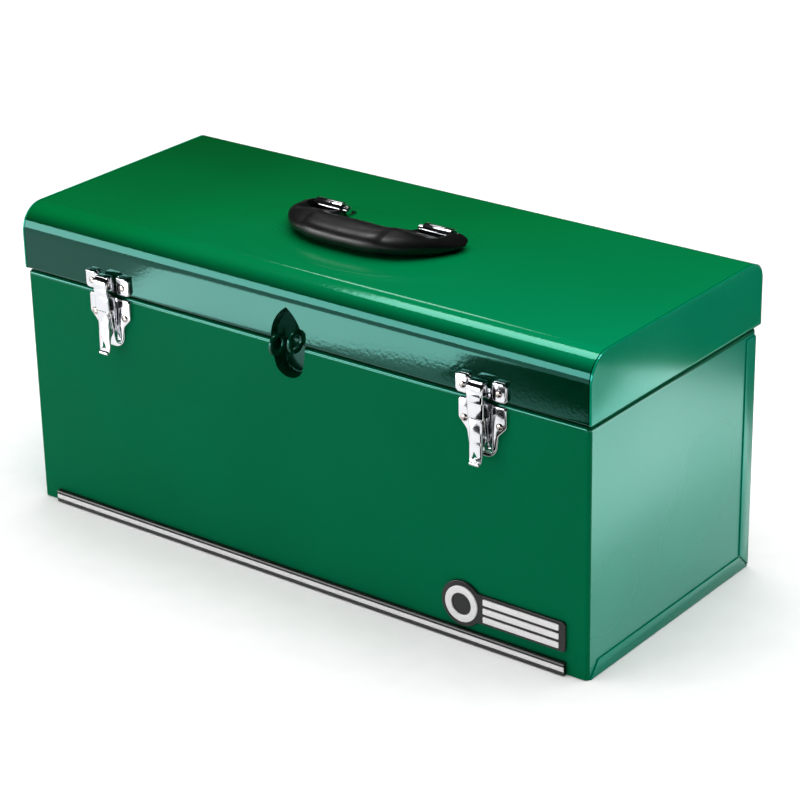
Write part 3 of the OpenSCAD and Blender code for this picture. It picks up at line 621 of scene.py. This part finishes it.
# %% [markdown]
# Floor and back are a second sheet. It laps up behind the front, bends up at the rear with a 3 mm radius
# and turns in at the rim; flanges fold from it over each end, 13 mm wide, and meet in a mitre at the rear
# corner.
# %% Floor, back and end flanges
back = back_high[1]
loop = thicken(dense(fillet([[front_y + 1.6, 10.5], [front_y + 1.6, 0.5], [back - 0.5, 0.5],
                             [back - 0.5, rim_z - 0.5], [back - 7, rim_z - 0.5]], [0, 1.4, 2.5, 2.0, 0],
                            closed=False, steps=10), 12), sheet)
inside_x = half_l - 1.1
floor_back = [along_x(loop, np.linspace(-inside_x, inside_x, 24))]
strip_line = thicken(fillet([[front_y + 3, 0.5], [back - 0.5, 0.5], [back - 0.5, rim_z - 5.5]], [0, 2.5, 0],
                            closed=False, steps=10), sheet)
for s in (-1, 1):
    floor_back.append(along_x(strip_line, [s * inside_x, s * (half_l + 0.4)]))
flange, gap = 12.5, 0.35
low_flange = fillet([[front_y + 3, 0.1], [back - 0.9, 0.1], [back - flange - gap, flange - gap],
                     [front_y + flange, flange - gap]], [0.4, 0.3, 0.3, 1.0], steps=3)
rear_flange = fillet([[back - 0.1, 0.9 + gap], [back - 0.1, rim_z - 5.5], [back - flange, rim_z - 5.5],
                      [back - flange, flange + gap]], [0.3, 1.2, 1.2, 0.3], steps=3)
ends = []
for s in (-1, 1):
    for outline in (low_flange, rear_flange):
        p, f = face_side(plate(outline, half_l, half_l + sheet, 0.4, 3))
        ends.append((p * [s, 1, 1], f))
dress(piece("floor_and_back", floor_back), body_enamel, "box", "green_enamel", "body_back_and_floor")
# The end flanges take the same lighter copy, painted light.
dress(piece("end_flanges", ends), end_enamel_painted_light, "box", "green_enamel")

# %% [markdown]
# Two padlock eyes stand in the recess. Each is a thick ring with a root that runs back to the recess floor;
# the ring is a rounded section carried round the hole, between the hole's circle and the eye's outer edge.
# %% Padlock eyes
def signed_power(v, e):
    """The size of v to the power e, with the sign of v: below 1 it squares a circle's sine and cosine."""
    return np.sign(v) * np.abs(v) ** e


def eye(node_name, upper):
    """The outer edge is the ring's circle or the root's straight sides and back, whichever is further out."""
    low, high = corners(node_name)
    hole, wall = 5.5, 8.5
    cz = seam_z + (3 if upper else -3)
    cy = low[1] + wall
    a = np.linspace(0, 2 * np.pi, 96, endpoint=False)
    c, s = np.cos(a), np.sin(a)
    reach = high[1] - cy + 0.6
    tiny = 1e-3
    steep = np.maximum(np.abs(s), tiny)
    back_edge = np.where(c > tiny, np.minimum(reach / np.maximum(c, tiny), wall / steep), 0)
    limit = (lid_z0 - cz if upper else rim_z - cz)
    beyond = (s * limit > 0) & (np.abs(s) > tiny)
    back_edge = np.where(beyond, np.minimum(back_edge, np.abs(limit) / steep), back_edge)
    outer = np.maximum(wall, back_edge)
    t = np.linspace(0, 2 * np.pi, 20, endpoint=False)
    u, v = signed_power(np.cos(t), 0.35), signed_power(np.sin(t), 0.5)
    r = (outer[:, None] + hole) / 2 + (outer[:, None] - hole) / 2 * u[None]
    x = (low[0] + high[0]) / 2 + (high[0] - low[0]) / 2 * np.broadcast_to(v[None], r.shape)
    pts = np.stack([x, cy + r * c[:, None], cz + r * s[:, None]], 2)
    return piece(node_name + "_ring", [grid(pts, True, True)], 50)


for name, upper, rides in (("padlock_eye_body", False, "box"), ("padlock_eye_lid", True, "lid")):
    # The eyes stand in the recess and take its dark copy, painted shade.
    dress(eye(name, upper), recess_enamel_painted_shade, rides, "green_enamel", name)

# %% [markdown]
# ## Draw latches
# Each latch is four pressings: a base plate riveted to the body, a lever that turns on the base, a draw
# link that hangs on the lever and hooks over the strike, and the strike plate on the lid. All have edges
# rolled soft by the press and the plating, so every outline is drawn in over its last millimetre.
# %% Latch helpers
def both(part):
    """A part and its mirror image across the latch's middle."""
    p, f = part
    return [part, (p * [-1, 1, 1], f)]


def at_latch(parts, s):
    """Moves parts drawn round the latch's own middle, seam and body face to their place."""
    return [(p + [s * latch_x, front_y, seam_z], f) for p, f in parts]


def dome(r, h):
    """A rivet head: half an ellipse of height h over a short straight edge, turned once round."""
    t = np.linspace(0, np.pi / 2, 8)
    crown = np.stack([r * np.cos(t), 0.3 + (h - 0.3) * np.sin(t)], 1)
    return turned(np.concatenate([[[0, -0.4], [r, -0.4]], crown]), 28)


def channel(stations, t, r):
    """A U section at each (z, half width, face depth, flange depth): bends of radius r, t thick inwards."""
    rows = []
    for z, w, f, d in stations:
        path = fillet([[-w, f - d], [-w, f], [w, f], [w, f - d]], [0, min(r, 0.8 * d), min(r, 0.8 * d), 0],
                      closed=False, steps=6)
        n = normals_2d(path, False)
        n *= np.sign(np.sum(n[len(n) // 2] * [0, 1])) or 1
        ring = np.concatenate([path, (path - n * t)[::-1]])
        rows.append(np.stack([ring[:, 0], -ring[:, 1], np.full(len(ring), z)], 1))
    return capped(np.stack(rows))


def rod(x0, x1, r, y, z, n=24):
    """A pin along x whose two ends are turned down by a third of its radius."""
    e = r / 3
    profile = np.array([[0, x0], [r - e, x0], [r, x0 + e], [r, x1 - e], [r - e, x1], [0, x1]])
    p, f = turned(profile, n)
    return np.stack([p[:, 2], p[:, 0] + y, p[:, 1] + z], 1), f


latch_x = np.mean([c[0] for c in corners("latch_right_lever")])
pivot_at, link_pin_at = (-5.8, -13), (-4.2, -24)
print("latches at", -latch_x, latch_x)

# %% [markdown]
# The base plate narrows in a shoulder to a round tip. A channel down its middle takes lever and link,
# between two wings that stand 2.4 mm proud and carry the rivets.
# %% Latch bases
base_line = fillet([[-19.75, -2.5], [19.75, -2.5], [19.75, -17.6], [12.8, -25], [10.6, -42], [-10.6, -42],
                    [-12.8, -25], [-19.75, -17.6]], [2, 2, 3, 6, 9.5, 9.5, 6, 3], steps=8)
wing_line = fillet([[8.2, -2.5], [19.75, -2.5], [19.75, -17.6], [12.8, -25], [11.2, -35], [8.2, -39.5]],
                   [1.0, 2.6, 3, 6, 2, 1.0], steps=7)
cheek_line = fillet([[0, -10.7], [-8.5, -10.7], [-8.5, -15.3], [0, -15.3]], [0, 2.2, 2.2, 0], steps=8)


def latch_base(s, side_name):
    """Base plate, two wings and two cheeks in one pressing, and its two rivet heads."""
    parts = [face_front(plate(base_line, 0.0, 1.2, 0.5, 4))]
    parts += both(face_front(plate(wing_line, 0.1, 2.4, 1.0, 5)))
    parts += both(face_side(plate(cheek_line, 2.75, 3.75, 0.2, 2)))
    obj = piece(f"latch_{side_name}_base_plate", at_latch(parts, s))
    dress(obj, chrome, "box", "bright_chrome", f"latch_{side_name}_base")
    heads = both(face_front(dome(2.8, 1.4), 14.6, -2.3, -17))
    obj = piece(f"latch_{side_name}_rivet_heads", at_latch(heads, s))
    dress(obj, rivet_steel, "box", "bright_chrome", f"latch_{side_name}_rivets")


for s, side_name in sides:
    latch_base(s, side_name)

# %% [markdown]
# The lever is a channel whose flanges carry two pins. Below the pins the flanges run out and the face goes
# on as a finger tab, with a triangular hole and a curled end.
# %% Levers
lever_run = [(-12.2, 5.0, 10.2, 8.0), (-12.7, 5.25, 10.3, 8.3), (-24, 5.25, 10.3, 8.6),
             (-27, 5.25, 10.3, 7.4), (-29.5, 5.3, 10.4, 5.0), (-32, 5.35, 10.5, 2.4), (-35, 5.35, 10.5, 1.5),
             (-39, 5.3, 10.5, 1.35), (-42.5, 5.0, 10.8, 1.35), (-44.6, 4.3, 11.2, 1.35),
             (-45.6, 3.4, 11.6, 1.3)]


def lever(s, side_name):
    """The channel with its triangular hole, its two pivot ears and curled end, and the pin it turns on."""
    run = channel(lever_run, 1.2, 1.3)
    ears = both(face_side(plate(circle(4.2, 40, *pivot_at), 4.05, 5.25, 0.3, 3)))
    obj = piece(f"latch_{side_name}_lever_channel", at_latch([run], s))
    tri = np.array([[-2.4, -41.2], [2.2, -40.4], [-1.0, -35.6]])
    hole = face_front(plate(fillet(tri, 0.4, steps=3), 6, 14, 0.001, 1))
    cut(obj, piece("tab_hole", at_latch([hole], s)))
    dress(obj, chrome, f"latch_{side_name}_lever_body", "bright_chrome", f"latch_{side_name}_lever")
    curl = [rod(-4.1, 4.1, 1.6, -11.1, -44.6)]
    extra = piece(f"latch_{side_name}_lever_ends", at_latch(ears + curl, s))
    dress(extra, chrome, f"latch_{side_name}_lever_body", "bright_chrome")
    pin = piece(f"latch_{side_name}_pivot", at_latch([rod(-5.25, 5.25, 1.2, *pivot_at)], s))
    dress(pin, zinc, "box", "plain_steel", f"latch_{side_name}_pivot_pin")


for s, side_name in sides:
    lever(s, side_name)

# %% [markdown]
# The draw link is a shorter, wider channel that rides over the lever. Its face steps out twice on the way
# up, and its top turns in as the claw that pulls on the strike; two arms run down to the pin in the lever.
# %% Draw links
low_run = [(-12, 6.2, 10.0, 6.9), (-11.5, 6.65, 10.6, 7.5), (-10.9, 6.75, 10.8, 7.7), (1.0, 6.75, 10.8, 7.7)]
high_run = [(-0.4, 6.0, 10.6, 6.6), (0.1, 6.6, 11.7, 7.6), (0.8, 6.75, 12.0, 8.0), (11.0, 6.75, 12.0, 8.0),
            (13.0, 6.6, 11.0, 7.0), (14.4, 6.1, 9.2, 5.0), (14.9, 5.4, 8.0, 3.6)]
arm_line = fillet([[-3.1, -2], [-1.5, -24], [-2.6, -26.9], [-6.2, -26.9],
                   [-7.2, -24], [-9.6, -9], [-9.6, -2]], [0.6, 2.4, 1.5, 1.5, 2.4, 2, 0.6], steps=6)


def link(s, side_name):
    """Two channels, two arms and the claw in one pressing, and the pin that hangs it on the lever."""
    parts = [channel(low_run, 1.2, 1.5), channel(high_run, 1.2, 1.7)]
    parts += both(face_side(plate(arm_line, 5.5, 6.7, 0.35, 3)))
    parts += [face_up(plate(rect(12.6, 6.4, 1.5, 0, -5.9), 13.4, 14.95, 0.7, 4))]
    obj = piece(f"latch_{side_name}_draw_link", at_latch(parts, s))
    dress(obj, chrome, f"latch_{side_name}_link_body", "bright_chrome", f"latch_{side_name}_link")
    pin = piece(f"latch_{side_name}_link_axle", at_latch([rod(-6.75, 6.75, 1.2, *link_pin_at)], s))
    dress(pin, zinc, f"latch_{side_name}_link_body", "plain_steel", f"latch_{side_name}_link_pin")


for s, side_name in sides:
    link(s, side_name)

# %% [markdown]
# The strike is riveted through the lid. Two ears stand out either side of the claw, boxed up at the top so
# that the claw can't slip sideways.
# %% Strikes
strike_line = fillet([[-21.2, 1.2], [21.2, 1.2], [21.2, 15.7], [9.6, 15.7], [9.0, 9.0], [-9.0, 9.0],
                      [-9.6, 15.7], [-21.2, 15.7]], [3, 3, 3, 1.5, 1.5, 1.5, 1.5, 3], steps=6)


def strike(s, side_name):
    """The plate with an ear and a boxed ridge on each side of the claw, and its two rivet heads."""
    mid = (1.2 + 15.7) / 2
    parts = [face_front(plate(strike_line, 0.0, 1.2, 0.4, 3))]
    parts += both(face_front(plate(rect(12.2, 14.4, 3.4, 15.15), 0.2, 2.8, 1.1, 5), z=mid))
    parts += both(face_front(plate(rect(9.4, 2.2, 1.05, 15.15), 0.4, 4.3, 0.8, 4), z=mid + 6.0))
    obj = piece(f"strike_{side_name}_plate", [(p + [0, -1, 0], f) for p, f in at_latch(parts, s)])
    dress(obj, chrome, "lid", "bright_chrome", f"strike_{side_name}")
    heads = both(face_front(dome(2.7, 1.3), 14.8, -3.7, mid - 0.8))
    obj = piece(f"strike_{side_name}_rivet_heads", at_latch(heads, s))
    dress(obj, rivet_steel, "lid", "bright_chrome", f"strike_{side_name}_rivets")


for s, side_name in sides:
    strike(s, side_name)

# %% [markdown]
# ## Carry handle
# The grip is one moulding, a bow lying forward of its pivots. Along the box its section is a soft rectangle
# (a superellipse of power 2.3) whose front edge, back edge and height are smooth functions of x. The top
# falls away towards the two lobes at the back, where the chrome straps pass through.
# %% Grip
bar_r, bar_half, strap_x, strap_w = 3.2, 18, 49.5, 25.0
bar_y, bar_z = 8.0, corners("handle_pivot_bars")[0][2] + bar_r


def smooth(x, stops, values):
    """Monotone cubics through the stops; the slope at each is the harmonic mean of its neighbours', or 0."""
    x = np.asarray(x, float)
    k = np.clip(np.searchsorted(stops, x) - 1, 0, len(stops) - 2)
    stops, values = np.asarray(stops, float), np.asarray(values, float)
    slope = np.diff(values) / np.diff(stops)
    total, product = slope[1:] + slope[:-1], slope[1:] * slope[:-1]
    inner = np.where(product > 0, 2 * product / np.where(total == 0, 1, total), 0)
    m = np.concatenate([[slope[0]], inner, [slope[-1]]])
    h = stops[k + 1] - stops[k]
    t = (x - stops[k]) / h
    return ((2 * t**3 - 3 * t**2 + 1) * values[k] + (t**3 - 2 * t**2 + t) * h * m[k]
            + (3 * t**2 - 2 * t**3) * values[k + 1] + (t**3 - t**2) * h * m[k + 1])


def grip():
    """At each x, a superellipse from front to back edge whose crown falls smoothly towards the back."""
    end = 76.6
    x = end * np.sin(np.linspace(-np.pi / 2, np.pi / 2, 181))
    a = np.abs(x)
    taper = np.sqrt(np.clip(1 - (np.maximum(a - 64, 0) / (end - 64)) ** 2, 0, 1))
    taper[[0, -1]] = 0
    front = smooth(a, [0, 20, 40, 50, 60, 68, 74, end], [-50, -49, -44, -38.5, -29, -18, -6, 3])
    rear = smooth(a, [0, 14, 26, 31, 33.5, 36, 66, 72, end], [-15.5, -16.5, -17, -12.5, -3, 8, 13.5, 11.5, 3])
    top = smooth(a, [0, 30, 60, 70, end], [18.2, 17.8, 15.4, 11.5, 5.0])
    lift = smooth(a, [0, 62, 70, end], [0, 0, 0.8, 2.6])[:, None]
    t = np.linspace(0, 2 * np.pi, 72, endpoint=False)[None]
    base = lid_top + 0.6
    mid, half = ((front + rear) / 2)[:, None], ((rear - front) / 2)[:, None]
    y = mid + half * signed_power(np.cos(t), 2 / 2.3)
    depth = smooth(a, [0, 26, 42, 57, 65, end], [0.30, 0.28, 0.46, 0.46, 0.20, 0.20])[:, None]
    fall = np.clip((y + 29) / 27, 0, 1)
    crown = top[:, None] * (1 - depth * fall * fall * (3 - 2 * fall))
    z = base + lift + crown / 2 + (crown / 2) * signed_power(np.sin(t), 2 / 2.3) * taper[:, None]
    return piece("grip", [grid(np.stack([np.broadcast_to(x[:, None], y.shape), y, z], 2), close_v=True)], 60)


grip_obj = grip()
for s in (-1, 1):
    middle = s * strap_x
    window = face_up(plate(rect(28.4, 30, 3.0, middle, 10.5), lid_top - 5, lid_top + 30, 0.001, 1))
    cut(grip_obj, piece("eye_window", [window]), 50)
    bore = rod(middle - bar_half, middle + bar_half, bar_r + 0.05, bar_y, bar_z)
    cut(grip_obj, piece("bar_hole", [bore]), 50)
soft = grip_obj.modifiers.new("rolled edges", "BEVEL")
soft.width, soft.segments, soft.limit_method, soft.angle_limit = 0.0009, 3, "ANGLE", math.radians(50)
bake_modifiers(grip_obj, 55)
dress(grip_obj, grip_black, "handle", "black_handle_plastic", "handle_grip")

# %% [markdown]
# Each strap is a chrome band with rounded edges, bent over the pivot bar like an omega. Its section, a
# small rounded rectangle, is carried along the bent path; the feet are riveted through the lid.
# %% Straps, bars and rivets
def strap(s):
    """The band's section carried along the bent path: foot, up, round the bar, down and foot."""
    thick = 1.6
    sec = rect(strap_w, thick, 0.7, steps=4)
    r = bar_r + 0.5 + thick / 2
    foot_z = lid_top + thick / 2
    path = fillet([[bar_y - 20.8, foot_z], [bar_y - r, foot_z], [bar_y - r, bar_z + r],
                   [bar_y + r, bar_z + r], [bar_y + r, foot_z], [bar_y + 14.8, foot_z]],
                  [0, 1.6, r * 0.99, r * 0.99, 1.6, 0], closed=False, steps=12)
    path = dense(path, 2.0)
    n = normals_2d(path, False)
    pts = np.stack([np.broadcast_to(sec[:, 0] + s * strap_x, (len(path), len(sec))),
                    path[:, :1] + n[:, :1] * sec[:, 1], path[:, 1:] + n[:, 1:] * sec[:, 1]], 2)
    return capped(pts)


for s, side_name in sides:
    dress(piece(f"strap_{side_name}", [strap(s)], 40), chrome, "lid", "bright_chrome",
          f"handle_bracket_{side_name}")
bars = [rod(x - bar_half, x + bar_half, bar_r, bar_y, bar_z, 40) for x in (-strap_x, strap_x)]
dress(piece("pivot_rods", bars), chrome, "handle", "bright_chrome", "handle_pivot_bars")
heads = [face_up(dome(2.4, 0.9), x, y, lid_top + 1.6)
         for x in (-strap_x, strap_x) for y in (bar_y - 16, bar_y + 11)]
dress(piece("strap_rivet_heads", heads), rivet_steel, "lid", "bright_chrome", "handle_rivets")

# %% [markdown]
# ## Trim and badge
# The moulding along the front is black vinyl with a groove, and a bright foil strip lies in it. The badge
# is a black plate with a round end, carrying a plain ring and three bars in relief.
# %% Trim
half_trim = 237.0
trim_line = fillet([[0, 0.1], [-3.2, 0.1], [-3.9, 1.4], [-3.9, 2.9], [-3.0, 3.0],
                    [-3.0, 7.0], [-3.9, 7.1], [-3.9, 8.6], [-3.2, 9.9], [0, 9.9]],
                   [0, 1.0, 0.8, 0.35, 0.2, 0.2, 0.35, 0.8, 1.0, 0], steps=5)
vinyl = along_x(trim_line + [front_y, 0], [-half_trim, 0, half_trim])
dress(piece("trim_vinyl", [vinyl]), trim_black, "box", "black_trim", "trim_moulding")
strip = fillet([[-2.9, 3.1], [-3.7, 3.2], [-3.95, 5], [-3.7, 6.8], [-2.9, 6.9]],
               [0, 0.3, 3.0, 0.3, 0], steps=5)
foil_strip = along_x(strip + [front_y, 0], np.linspace(-half_trim + 0.2, half_trim - 0.2, 40))
# The strip takes the foil's near-white painted reflection.
dress(piece("trim_foil", [foil_strip]), foil, "box", "bright_foil", "trim_bright_insert")

# %% Badge
badge_low, badge_high = corners("badge_plate")
badge_r, badge_half, badge_end = 17.5, 11.5, 86.5
badge_x, badge_z = badge_low[0] + badge_r, (badge_low[2] + badge_high[2]) / 2
start = math.asin(badge_half / badge_r)
arc = np.linspace(start, 2 * math.pi - start, 60)[:, None]
neck = badge_r * math.cos(start)
bar_end = fillet([[neck, -badge_half], [badge_end, -badge_half], [badge_end, badge_half], [neck, badge_half]],
                 [0, 2.5, 2.5, 0], closed=False, steps=6)
badge_line = np.concatenate([badge_r * np.hstack([np.cos(arc), np.sin(arc)]), bar_end[1:-1]])
badge = face_front(plate(badge_line, 0.0, 2.0, 0.5, 4), badge_x, front_y, badge_z)
dress(piece("badge_backing", [badge], 40), trim_black, "box", "black_trim", "badge_plate")


def ring(outer, inner, low, high, r):
    """A flat ring whose four corners are rounded: a small rounded rectangle carried once round."""
    sec = rect(outer - inner, high - low, r, (outer + inner) / 2, (high + low) / 2, steps=3)
    t = np.linspace(0, 2 * np.pi, 72, endpoint=False)[:, None]
    height = np.broadcast_to(sec[:, 1], (len(t), len(sec)))
    return grid(np.stack([np.cos(t) * sec[:, 0], np.sin(t) * sec[:, 0], height], 2), True, True)


marks = [face_front(ring(13.65, 8.46, 1.9, 3.2, 0.3), badge_x, front_y, badge_z)]
marks += [face_front(plate(rect(63, 4.37, 0.6, 50, k * 6.77), 1.9, 3.2, 0.3, 3), badge_x, front_y, badge_z)
          for k in (-1, 0, 1)]
# The marks take the foil's near-white painted reflection.
dress(piece("badge_marks", marks), foil, "box", "bright_foil", "badge_emblem")

# %% [markdown]
# ## Tray
# The lift-out tray is pressed from one sheet: rounded floor edges, upright walls and a rim turned outwards.
# Each level is a rounded rectangle with its own inset and height, first up the outside and then down the
# inside.
# %% Tray pan
pan_low, pan_high = corners("tray_pan")


def tray_pan():
    """Levels of (inset, height): outside bend and wall, rolled rim, inside wall and bend."""
    w, d = (pan_high - pan_low)[:2]
    x, y = (pan_high + pan_low)[:2] / 2
    z0, z1 = pan_low[2], pan_high[2]
    t = np.linspace(0, np.pi / 2, 7)
    low = [(3 + 3 * (1 - math.sin(a)), z0 + 3 * (1 - math.cos(a))) for a in t]
    rim = [(3, z1 - 1.6), (2.6, z1 - 0.9), (2.0, z1 - 0.8), (0.3, z1 - 0.8), (0.0, z1 - 0.4), (0.3, z1)]
    lip = [(3.2, z1), (3.7, z1 - 0.5), (3.8, z1 - 1.6)]
    inner = [(3.8 + 2.2 * (1 - math.sin(a)), z0 + 0.8 + 2.2 * (1 - math.cos(a))) for a in t[::-1]]
    rows = []
    for inset, z in low + rim + lip + inner:
        o = rect(w - 2 * inset, d - 2 * inset, max(11 - inset, 4.0), x, y, steps=8)
        rows.append(np.column_stack([o, np.full(len(o), z)]))
    return piece("tray_pressing", [capped(np.stack(rows))])


dress(tray_pan(), body_enamel, "tray", "green_enamel", "tray_pan")

# %% [markdown]
# The tray's handle is a flat bright strip bent to an upturned U, wider across its top where the fingers
# hold it.
# %% Tray handle
bow_low, bow_high = corners("tray_handle")


def bow():
    """A flat strip section carried along an upturned U: up one leg, round two bends and down the other."""
    x, z0, z1 = bow_high[0] - 3.5, bow_low[2], bow_high[2] - 3.5
    path = dense(fillet([[-x, z0], [-x, z1], [x, z1], [x, z0]], [0, 9, 9, 0], closed=False, steps=12), 4)
    n = normals_2d(path, False)
    sec = rect(7.0, 2.0, 0.8, steps=4)
    wide = smooth(path[:, 1], [z0, z1 - 12, z1], [1, 1, 1.6])[:, None]
    a = path[:, :1] + n[:, :1] * sec[:, 0] * wide
    c = path[:, 1:] + n[:, 1:] * sec[:, 0] * wide
    y = (bow_low[1] + bow_high[1]) / 2 + np.broadcast_to(sec[:, 1], a.shape)
    return piece("tray_bow", [capped(np.stack([a, y, c], 2))], 40)


dress(bow(), chrome, "tray", "bright_chrome", "tray_handle")

# %% [markdown]
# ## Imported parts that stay
# The hinge, the backing plate, the ledges, and the tray's divider and rivets are already the right shape,
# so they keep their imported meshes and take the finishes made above.
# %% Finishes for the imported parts
kept = {
    "hinge_leaf_body": zinc, "hinge_leaf_lid": zinc, "hinge_pin": zinc, "handle_backing_plate": zinc,
    "tray_ledge_left": body_enamel, "tray_ledge_right": body_enamel, "tray_divider": body_enamel,
    "tray_rivets": rivet_steel,
}
for node_name, mat in kept.items():
    obj = bpy.data.objects[node_name]
    if not obj.material_slots:
        obj.data.materials.append(mat)
    for material_slot in obj.material_slots:
        material_slot.material = mat
print("kept:", ", ".join(kept))

# %% [markdown]
# ## Studio
# A white floor, a large softbox overhead, a smaller one low at the front left, and a few cards. The glossy
# lid shows whatever lies in its mirror direction, so the room stays dark and each highlight is given its
# own card.
# %% Floor and room
edge = np.linspace(-6000, 6000, 13)
gx, gy = np.meshgrid(edge, edge, indexing="ij")
floor = piece("floor", [grid(np.stack([gx, gy, np.full_like(gx, -0.2)], 2))])
floor_mat, out = finish_of("white_paper_sweep")
where = node(floor_mat, "TexCoord").outputs["Object"]
fibre = node(floor_mat, "TexNoise", {"Scale": 40.0, "Detail": 2.0}, {"Vector": where})
tone = ramp(floor_mat, fibre.outputs["Fac"], [(0.3, hexa("f7f7f7")), (0.7, hexa("fafafa"))])
connect(floor_mat, out, node(floor_mat, "BsdfDiffuse", {"Roughness": 0.2}, {"Color": tone.outputs["Color"]}))
floor.data.materials.append(floor_mat)

world = bpy.data.worlds.new("dark room")
world.use_nodes = True
world.node_tree.nodes["Background"].inputs["Color"].default_value = (1, 1, 1, 1)
world.node_tree.nodes["Background"].inputs["Strength"].default_value = 0.01
bpy.context.scene.world = world
bpy.context.scene.view_settings.view_transform = "Standard"
print("white floor in a dark room")

# %% [markdown]
# The two softboxes light the box but don't show in its gloss. The cards do the opposite: they lie on the
# floor or stand out of sight, show only in reflections, and light nothing.
# %% Lights
def softbox(name, centre, aim, size, radiance):
    """A rectangular light whose face has the given radiance: power is radiance times pi times area."""
    lamp = bpy.data.lights.new(name, "AREA")
    lamp.shape, lamp.size, lamp.size_y = "RECTANGLE", size[0], size[1]
    lamp.energy = radiance * math.pi * size[0] * size[1]
    obj = bpy.data.objects.new(name, lamp)
    obj.matrix_world = (Matrix.Translation(centre)
                        @ (Vector(centre) - Vector(aim)).to_track_quat("Z", "Y").to_matrix().to_4x4())
    bpy.context.scene.collection.objects.link(obj)
    return obj


overhead = softbox("overhead", (0.15, 0.3, 2.6), (0.15, 0.3, 0.0), (3.9, 3.6), 3.3)
front_left = softbox("front_left", (-1.55, -2.05, 0.75), (0.0, 0.0, 0.3), (2.0, 1.2), 2.6)
overhead.visible_glossy = front_left.visible_glossy = False


def only_glints(card):
    """A card that shows in reflections alone: it lights nothing and the camera doesn't see it."""
    card.visible_camera = card.visible_diffuse = card.visible_transmission = card.visible_shadow = False
    return card


def floor_card(name, centre, size, turn, radiance):
    """A lit card lying on the floor, turned about the vertical."""
    card = softbox(name, (*centre, 0.003), (*centre, 1.0), size, radiance)
    card.matrix_world = card.matrix_world @ Matrix.Rotation(math.radians(turn), 4, "Z")
    return only_glints(card)


floor_card("lid_front_card", (-0.335, -0.545), (0.36, 0.19), 12.0, 5.8)
floor_card("end_card_far", (0.47, 0.15), (0.22, 0.46), 0.0, 2.9)
floor_card("end_card_near", (0.31, 0.1), (0.10, 0.40), 0.0, 0.7)
only_glints(softbox("low_left_glint", (-1.5, -2.0, 0.5), (0.0, 0.0, 0.3), (2.2, 0.9), 8.0))
only_glints(softbox("high_glint", (-1.14, 0.15, 2.55), (-1.14, 0.15, 0.0), (0.94, 0.95), 8.0))
only_glints(softbox("rear_glint", (-2.2, 2.4, 2.5), (0.0, 0.0, 0.2), (0.5, 0.4), 4.0))

# %% [markdown]
# Polished steel only looks like steel when something dark is next to the bright floor in it. Black cards
# lie on the floor where the bends of the latches mirror it, where the lid's front falls off to its right,
# and behind the box on the right, where the lid's end mirrors the floor.
# %% Black cards
black, out = finish_of("black_card")
where = node(black, "TexCoord").outputs["Object"]
nap = node(black, "TexNoise", {"Scale": 60.0}, {"Vector": where})
tone = ramp(black, nap.outputs["Fac"], [(0.3, hexa("020403")), (0.7, hexa("060908"))])
connect(black, out, node(black, "BsdfDiffuse", {}, {"Color": tone.outputs["Color"]}))
black_cards = {"right": (20, -520, 620, -215), "lid": (-140, -640, 20, -470), "rear": (330, 400, 900, 900)}
for name, (x0, y0, x1, y1) in black_cards.items():
    gx, gy = np.meshgrid([x0, x1], [y0, y1], indexing="ij")
    card = piece("black_card_" + name, [grid(np.stack([gx, gy, np.full_like(gx, 2.0, dtype=float)], 2))])
    card.data.materials.append(black)
    only_glints(card)
